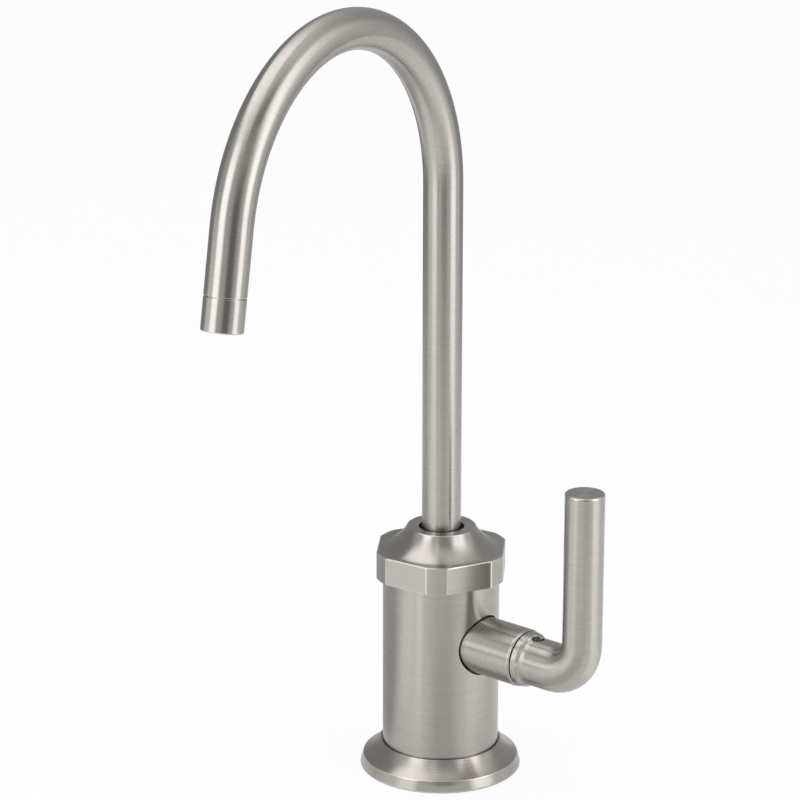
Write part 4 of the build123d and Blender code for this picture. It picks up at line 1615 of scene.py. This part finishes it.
@dataclass
class Underside:
    """What clamps the faucet to the deck and brings the water in."""

    shank_radius: float = 10.45
    shank_bottom: float = -62.0
    shank_top: float = 20.0
    shank_bore: float = 5.0
    socket: float = 6.6
    socket_top: float = -53.0
    shank_pitch: float = 1.814
    shank_depth: float = 0.95
    thread_top: float = 5.5
    inlet_radius: float = 7.1
    inlet_bottom: float = -81.3
    inlet_pitch: float = 1.25
    inlet_depth: float = 0.6
    inlet_bore: float = 3.2
    hexagon: Pair = (-68.3, -62.8)
    hexagon_flats: Flats = field(default_factory=lambda: Flats(9.5, 10.75, soft=0.25))
    nipple_top: float = -53.8
    nipple_radius: float = 6.55
    washer_hole: float = 10.7
    nut: Pair = (-42.5, -34.5)
    nut_flats: Flats = field(default_factory=lambda: Flats(16.0, 18.475, soft=0.3))
    nut_thread: float = 10.5
    nut_chamfer: float = 1.2
    washer_segments: int = 96
    columns: int = 72

    def thread_values(
        self, crest: float, depth: float, pitch: float, low: float, high: float
    ) -> dict[str, float | int]:
        """The inputs of the thread tree.

        Args:
            crest: the thread's outer radius, in millimetres.
            depth: its depth.
            pitch: its pitch.
            low: where it starts along the axis.
            high: where it ends.

        Returns:
            The named inputs, in metres.
        """
        return {
            "Crest": crest * MM,
            "Depth": depth * MM,
            "Pitch": pitch * MM,
            "From": low * MM,
            "To": high * MM,
            "Turns": math.ceil((high - low) / pitch),
            "Columns": self.columns,
        }

    def build_shank(self, thread: bpy.types.NodeTree) -> None:
        """Turns the shank's plain parts and cuts its thread.

        Args:
            thread: the thread tree.
        """
        foot, foot_drop, shoulder = 0.9, 0.2, 0.6
        socket_edge, bore_edge, top_edge = 0.2, 0.3, 0.4
        low, high, root = self.shank_bottom + foot, self.thread_top, self.shank_radius - self.shank_depth
        corners = [
            Corner(low, root),
            Corner(self.shank_bottom, root - foot_drop, CRISP),
            Corner(self.shank_bottom, self.socket, socket_edge),
            Corner(self.socket_top, self.socket, CRISP),
            Corner(self.socket_top, self.shank_bore, CRISP),
            Corner(self.shank_top, self.shank_bore, bore_edge),
            Corner(self.shank_top, self.shank_radius, top_edge),
            Corner(high + shoulder, self.shank_radius, CRISP),
            Corner(high, root),
        ]
        shell = Shell()
        shell.turned(traced(corners), self.columns)
        values = self.thread_values(self.shank_radius, self.shank_depth, self.shank_pitch, low, high)
        mesh = facing_out(run_tree(shell.mesh("shank_threaded"), thread, values))
        mesh.transform(upright())
        add_piece(mesh, "shank_threaded", Body.FAUCET, BRASS, "mounting_shank")

    def nipple(self, angle: float) -> list[Corner]:
        """The outline of the inlet's hexagon and nipple at an angle about the axis.

        Args:
            angle: the angle about the axis, in radians.

        Returns:
            The outline's corners in order.
        """
        bottom, top = self.hexagon
        mouth_edge, nipple_edge, slope = 0.3, 0.4, 0.5
        return [
            Corner(bottom, self.inlet_bore, CRISP),
            Corner(self.nipple_top, self.inlet_bore, mouth_edge),
            Corner(self.nipple_top, self.nipple_radius, nipple_edge),
            Corner(top, self.nipple_radius, CRISP),
            *self.hexagon_flats.chamfered(angle, top, bottom, slope, CRISP),
        ]

    def build_fitting(self, thread: bpy.types.NodeTree) -> None:
        """Makes the inlet's hexagon and nipple, and the threaded tube under them.

        Args:
            thread: the thread tree.
        """
        column_step = 5.0
        hexagon = Shell()
        hexagon.shaped(self.nipple, self.hexagon_flats.angles(column_step), closed=True)
        foot, foot_drop, neck, lap, lap_edge = 0.8, 0.4, 1.0, 0.3, 0.05
        mouth, mouth_depth, mouth_edge = 4.7, 3.0, 0.3
        low, high = self.inlet_bottom + foot, self.hexagon[0] - neck
        root, end = self.inlet_radius - self.inlet_depth, self.hexagon[0] + lap
        corners = [
            Corner(low, root),
            Corner(self.inlet_bottom, root - foot_drop, CRISP),
            Corner(self.inlet_bottom, mouth, CRISP),
            Corner(self.inlet_bottom + mouth_depth, self.inlet_bore, mouth_edge),
            Corner(end, self.inlet_bore, lap_edge),
            Corner(end, root - 0.1, lap_edge),
            Corner(high, root),
        ]
        tube = Shell()
        tube.turned(traced(corners), self.columns)
        values = self.thread_values(self.inlet_radius, self.inlet_depth, self.inlet_pitch, low, high)
        mesh = facing_out(run_tree(tube.mesh("inlet_tube"), thread, values))
        work = bmesh.new()
        for part in (mesh, hexagon.mesh("inlet_hexagon")):
            work.from_mesh(part)
        work.to_mesh(mesh)
        work.free()
        mesh.transform(upright())
        add_piece(mesh, "inlet_fitting_threaded", Body.FAUCET, BRASS, "inlet_fitting")

    def build_washers(self) -> None:
        """Makes the rubber washer and the metal one under it."""
        hole = self.washer_hole
        for name, low, high, out, edge, finish, node in (
            ("rubber_washer_moulded", -32.5, -30.0, 19.25, 0.5, RUBBER, "rubber_washer"),
            ("metal_washer_pressed", -34.5, -32.5, 17.75, 0.35, STEEL, "metal_washer"),
        ):
            places = ((low, hole), (high, hole), (high, out), (low, out))
            corners = [Corner(*place, edge) for place in places]
            add_turned(corners, self.washer_segments, upright(), name, Body.FAUCET, finish, node)

    def lock_nut(self, angle: float) -> list[Corner]:
        """The lock nut's outline at an angle about its axis.

        Args:
            angle: the angle about the axis, in radians.

        Returns:
            The outline's corners in order.
        """
        low, high = self.nut
        thread, lead, flats = self.nut_thread, 0.8, self.nut_flats
        slope = self.nut_chamfer / (flats.blank - flats.flat)
        return [
            *flats.chamfered(angle, low, high, slope, foot=0.15),
            Corner(high, thread + lead, CRISP),
            Corner(high - lead, thread, CRISP),
            Corner(low + lead, thread, CRISP),
            Corner(low, thread + lead, CRISP),
        ]

    def build_nut(self) -> None:
        """Shapes the lock nut column by column."""
        column_step = 4.0
        shell = Shell()
        shell.shaped(self.lock_nut, self.nut_flats.angles(column_step), closed=True)
        add_piece(shell.mesh("lock_nut_milled", upright()), "lock_nut_milled", Body.FAUCET, BRASS, "lock_nut")

    def build(self, thread: bpy.types.NodeTree) -> None:
        """Builds everything under the deck.

        Args:
            thread: the thread tree.
        """
        self.build_shank(thread)
        self.build_fitting(thread)
        self.build_washers()
        self.build_nut()


@dataclass
class Inside:
    """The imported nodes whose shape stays, each with its own finish."""

    finishes: dict[str, Finish] = field(
        default_factory=lambda: {
            "base_gasket": RUBBER,
            "valve_body": BRASS,
            "inlet_gasket": RUBBER,
            "swivel_washer": ACETAL,
            "swivel_bearing": ACETAL,
            "cartridge_housing": BRASS_ACROSS,
            "cartridge_seal": RUBBER,
            "fixed_disc": CERAMIC,
            "spout_foot": BRASS,
            "spout_o_rings": RUBBER,
            "aerator_gasket": RUBBER,
            "flow_straightener": PLASTIC,
            "aerator_screen": WIRE,
            "moving_disc": CERAMIC,
            "cartridge_stem": BRASS_ACROSS,
            "stem_o_rings": RUBBER,
            "stem_circlip": WIRE,
        }
    )

    def dress(self, nodes: dict[str, bpy.types.Object]) -> None:
        """Gives each node its finish.

        Args:
            nodes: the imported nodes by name.
        """
        for name, finish in self.finishes.items():
            mesh = nodes[name].data
            mesh.materials.clear()
            mesh.materials.append(finish.material())
            log.info("%s: %s", name, finish.material().name)


@dataclass(frozen=True)
class Softbox:
    """A soft lamp that stands near the faucet and faces it.

    Attributes:
        name: its name.
        azimuth: its place round the faucet, in degrees to the right of the camera.
        elevation: its height, in degrees above the middle of the faucet.
        size: its width and height, in metres.
        strength: how bright its face is, where 1 is white.
        distance: how far away it stands, in metres.
        fade: share of its width over which each upright edge fades out.
    """

    name: str
    azimuth: float
    elevation: float
    size: Pair
    strength: float
    distance: float = 0.54
    fade: float = 0.35


@dataclass(frozen=True)
class Card:
    """A curved grey card that the metal reflects and the camera doesn't see.

    Attributes:
        name: its name.
        azimuth: where it starts and ends, in degrees to the right of the camera.
        near: distance and height of its lower or inner edge, in metres.
        far: distance and height of its upper or outer edge, in metres.
        tone: how bright it looks, where 1 is white.
        fade: over how many degrees it fades in at each upright end, 0 for a sharp end.
    """

    name: str
    azimuth: Pair
    near: Pair
    far: Pair
    tone: float
    fade: float = 0.0


# Distance from the faucet's axis and height, in metres, of the edges that several cards share.
WALL_FOOT: Pair = (0.5, 0.0)
WALL_HEAD: Pair = (0.5, 0.66)
WALL_TOP: Pair = (0.5, 1.10)
TABLE_NEAR: Pair = (0.08, 0.002)
TABLE_FAR: Pair = (0.42, 0.002)


@dataclass
class Studio:
    """Camera, pale floor, world, lamps and the cards that shape what the metal reflects."""

    azimuth: float = 40.88
    elevation: float = 17.87
    roll: float = 0.11
    distance: float = 1.067
    aim: tuple[float, float, float] = (-0.00852, -0.00741, 0.11744)
    lens: float = 149.2
    shift: Pair = (-0.00854, 0.03154)
    sensor: float = 36.0
    clip_end: float = 20.0
    middle: tuple[float, float, float] = (0.0, 0.0, 0.12)
    floor_size: float = 6.0
    floor_tone: float = 0.85
    floor_glow: float = 0.9
    mirrored_glow: float = 0.3
    fill: float = 0.8
    card_lift: float = 0.001
    card_step: float = 6.0
    softboxes: tuple[Softbox, ...] = (
        Softbox("left_box", -49, 21, (0.40, 0.44), 1.40, 0.53),
        Softbox("right_box", 61, 21, (0.49, 0.68), 1.50, 0.54),
        Softbox("top_box", -105, 66, (1.3, 1.0), 0.95, 1.1),
    )
    cards: tuple[Card, ...] = (
        Card("card_table", (186, 278), (0.035, 0.001), (0.27, 0.001), 0.52, 20.0),
        Card("card_table_left", (276, 308), TABLE_NEAR, TABLE_FAR, 1.18, 10.0),
        Card("card_table_stripe", (311, 326), TABLE_NEAR, TABLE_FAR, 1.25, 5.0),
        Card("card_table_right", (42, 92), TABLE_NEAR, TABLE_FAR, 1.25, 10.0),
        Card("card_table_near", (-26, 30), (0.028, 0.002), (0.17, 0.002), 0.70, 14.0),
        Card("card_table_far", (-34, 14), (0.19, 0.002), (0.48, 0.002), 1.2, 10.0),
        Card("card_back_left", (180, 261), WALL_FOOT, WALL_HEAD, 0.32),
        Card("card_back_right", (109, 180), WALL_FOOT, WALL_HEAD, 0.42),
        Card("card_left", (261, 296), WALL_FOOT, WALL_HEAD, 0.56),
        Card("card_left_strip", (272, 296), (0.49, 0.06), (0.49, 0.20), 1.35),
        Card("card_left_low", (296, 326), WALL_FOOT, (0.5, 0.12), 1.40),
        Card("card_front_left", (-34, 5), WALL_FOOT, WALL_HEAD, 0.62),
        Card("card_camera", (-16, 26), (0.49, 0.04), (0.49, 0.38), 0.12, 12.0),
        Card("card_front_right", (5, 42), WALL_FOOT, WALL_HEAD, 0.60),
        Card("card_above", (-10, 42), WALL_HEAD, WALL_TOP, 0.10),
        Card("card_right", (79, 109), WALL_FOOT, (0.5, 0.38), 0.80),
        Card("card_high_right", (109, 180), WALL_HEAD, WALL_TOP, 0.60),
    )

    def heading(self, azimuth: float, elevation: float) -> Vector:
        """Direction from the faucet to a place in the studio.

        Args:
            azimuth: degrees round to the right of the camera.
            elevation: degrees above the horizon.

        Returns:
            A unit vector.
        """
        turn, rise = math.radians(self.azimuth + azimuth), math.radians(elevation)
        return Vector((math.sin(turn) * math.cos(rise), -math.cos(turn) * math.cos(rise), math.sin(rise)))

    def build_camera(self) -> None:
        """Sets the camera where the photograph was taken from."""
        back = self.heading(0, self.elevation)
        right = Vector((0, 0, 1)).cross(back).normalized()
        up = back.cross(right)
        roll = math.radians(self.roll)
        across = right * math.cos(roll) + up * math.sin(roll)
        upward = up * math.cos(roll) - right * math.sin(roll)
        matrix = Matrix((across, upward, back)).transposed().to_4x4()
        matrix.translation = Vector(self.aim) + back * self.distance
        data = bpy.data.cameras.new("camera")
        data.lens = self.lens
        data.sensor_width = self.sensor
        data.shift_x, data.shift_y = self.shift
        data.clip_end = self.clip_end
        camera = placed("camera", data)
        camera.matrix_world = matrix
        bpy.context.scene.camera = camera

    def mirrored(self, graph: Graph, rays: bpy.types.Node) -> bpy.types.NodeSocket:
        """Whether a ray comes from a mirror or through glass."""
        return graph.math("MAXIMUM", rays.outputs["Is Glossy Ray"], rays.outputs["Is Transmission Ray"])

    def glow(self, graph: Graph, strength: float) -> bpy.types.NodeSocket:
        """Adds plain white light of a strength."""
        return graph.add("ShaderNodeEmission", {"Color": WHITE, "Strength": strength}).outputs[0]

    def blend(self, graph: Graph, share: Source, first: Source, second: Source) -> bpy.types.NodeSocket:
        """Mixes two shaders by a share."""
        return graph.add("ShaderNodeMixShader", {0: share, 1: first, 2: second}).outputs[0]

    def build_floor(self) -> None:
        """Lays a white floor that keeps a soft shadow, and is clear from below."""
        half, tone = self.floor_size / 2, self.floor_tone
        mesh = bpy.data.meshes.new("floor")
        corners = [(-half, -half, 0), (half, -half, 0), (half, half, 0), (-half, half, 0)]
        mesh.from_pydata(corners, [], [(0, 1, 2, 3)])
        material = bpy.data.materials.new("white_floor")
        graph = blank_graph(material)
        rays = graph.add("ShaderNodeLightPath")
        paper = graph.add("ShaderNodeBsdfDiffuse", {"Color": (tone, tone, tone, 1.0)}).outputs[0]
        seen = graph.math("MULTIPLY", rays.outputs["Is Camera Ray"], self.floor_glow)
        reflected = graph.math("MULTIPLY", self.mirrored(graph, rays), self.mirrored_glow)
        lit = self.blend(graph, graph.math("MAXIMUM", seen, reflected), paper, self.glow(graph, 1.0))
        clear = graph.add("ShaderNodeBsdfTransparent").outputs[0]
        behind = graph.add("ShaderNodeNewGeometry").outputs["Backfacing"]
        graph.add("ShaderNodeOutputMaterial", {"Surface": self.blend(graph, behind, lit, clear)})
        mesh.materials.append(material)
        placed("floor", mesh)

    def build_world(self) -> None:
        """Surrounds the scene with plain white, and lights it a little below that."""
        world = bpy.data.worlds.new("studio")
        graph = blank_graph(world)
        rays = graph.add("ShaderNodeLightPath")
        shown = graph.math("MAXIMUM", rays.outputs["Is Camera Ray"], self.mirrored(graph, rays))
        strength = graph.math("MULTIPLY_ADD", shown, 1.0 - self.fill, self.fill)
        white = graph.add("ShaderNodeBackground", {"Color": WHITE, "Strength": strength})
        graph.add("ShaderNodeOutputWorld", {"Surface": white.outputs[0]})
        bpy.context.scene.world = world

    def soften(self, data: bpy.types.Light, fade: float) -> None:
        """Fades a lamp's face out towards its upright edges.

        Args:
            data: the lamp.
            fade: share of its width that each fade takes.
        """
        graph = blank_graph(data)
        chart = graph.add("ShaderNodeNewGeometry").outputs["Parametric"]
        place = graph.add("ShaderNodeSeparateXYZ", {0: chart})
        from_edge = graph.math("PINGPONG", place.outputs[0], 0.5)
        reach = {0: from_edge, 1: 0.0, 2: fade}
        ramp = graph.add("ShaderNodeMapRange", reach, interpolation_type="SMOOTHSTEP")
        face = graph.add("ShaderNodeEmission", {"Strength": ramp.outputs[0]})
        graph.add("ShaderNodeOutputLight", {"Surface": face.outputs[0]})

    def build_lamps(self) -> None:
        """Stands the softboxes round the faucet."""
        for box in self.softboxes:
            data = bpy.data.lights.new(box.name, "AREA")
            data.shape = "RECTANGLE"
            data.size, data.size_y = box.size
            data.energy = box.strength * math.pi * box.size[0] * box.size[1]
            self.soften(data, box.fade)
            lamp = placed(box.name, data)
            back = self.heading(box.azimuth, box.elevation)
            lamp.location = Vector(self.middle) + back * box.distance
            lamp.rotation_euler = back.to_track_quat("Z", "Y").to_euler()

    def card_mesh(self, card: Card) -> bpy.types.Mesh:
        """Bends a card round the faucet, and stores how much of it is shown at each point.

        Args:
            card: what it looks like.

        Returns:
            The card's mesh.
        """
        start, end = card.azimuth
        columns = math.ceil((end - start) / self.card_step) + 1
        points, shown = [], []
        for away, height in (card.near, card.far):
            for azimuth in np.linspace(start, end, columns):
                point = self.heading(azimuth, 0) * away
                points.append((point.x, point.y, height + self.card_lift))
                from_end = min(azimuth - start, end - azimuth)
                shown.append(min(from_end / card.fade, 1.0) if card.fade else 1.0)
        cells = range(columns - 1)
        faces = [(cell, cell + 1, cell + columns + 1, cell + columns) for cell in cells]
        mesh = bpy.data.meshes.new(card.name)
        mesh.from_pydata(points, [], faces)
        mesh.attributes.new("shown", "FLOAT", "POINT").data.foreach_set("value", shown)
        return mesh

    def card_material(self, card: Card) -> bpy.types.Material:
        """Makes a card glow evenly where it is shown.

        Args:
            card: what it looks like.

        Returns:
            The card's material.
        """
        material = bpy.data.materials.new(card.name)
        graph = blank_graph(material)
        share = graph.add("ShaderNodeAttribute", attribute_name="shown").outputs["Fac"]
        clear = graph.add("ShaderNodeBsdfTransparent").outputs[0]
        whole = self.blend(graph, share, clear, self.glow(graph, card.tone))
        graph.add("ShaderNodeOutputMaterial", {"Surface": whole})
        return material

    def build_cards(self) -> None:
        """Stands the cards round the faucet, where only the metal sees them."""
        for card in self.cards:
            mesh = self.card_mesh(card)
            mesh.materials.append(self.card_material(card))
            standing = placed(card.name, mesh)
            for ray in ("camera", "diffuse", "shadow", "transmission"):
                setattr(standing, f"visible_{ray}", False)

    def build(self) -> None:
        """Sets up the studio."""
        self.build_camera()
        self.build_floor()
        self.build_world()
        self.build_lamps()
        self.build_cards()
        bpy.context.scene.view_settings.view_transform = "Standard"


def main() -> None:
    """Builds the faucet's pieces in order, then the studio."""
    logging.basicConfig(level=logging.INFO, format="%(name)s: %(message)s")
    bend, thread = bent_bar_tree(), thread_tree()
    Base().build()
    Barrel().build()
    CapNut().build()
    Bonnet().build()
    Spout().build(bend)
    Lever().build(bend)
    Underside().build(thread)
    Inside().dress(frame["nodes"])
    Studio().build()


if __name__ == "__main__":
    main()
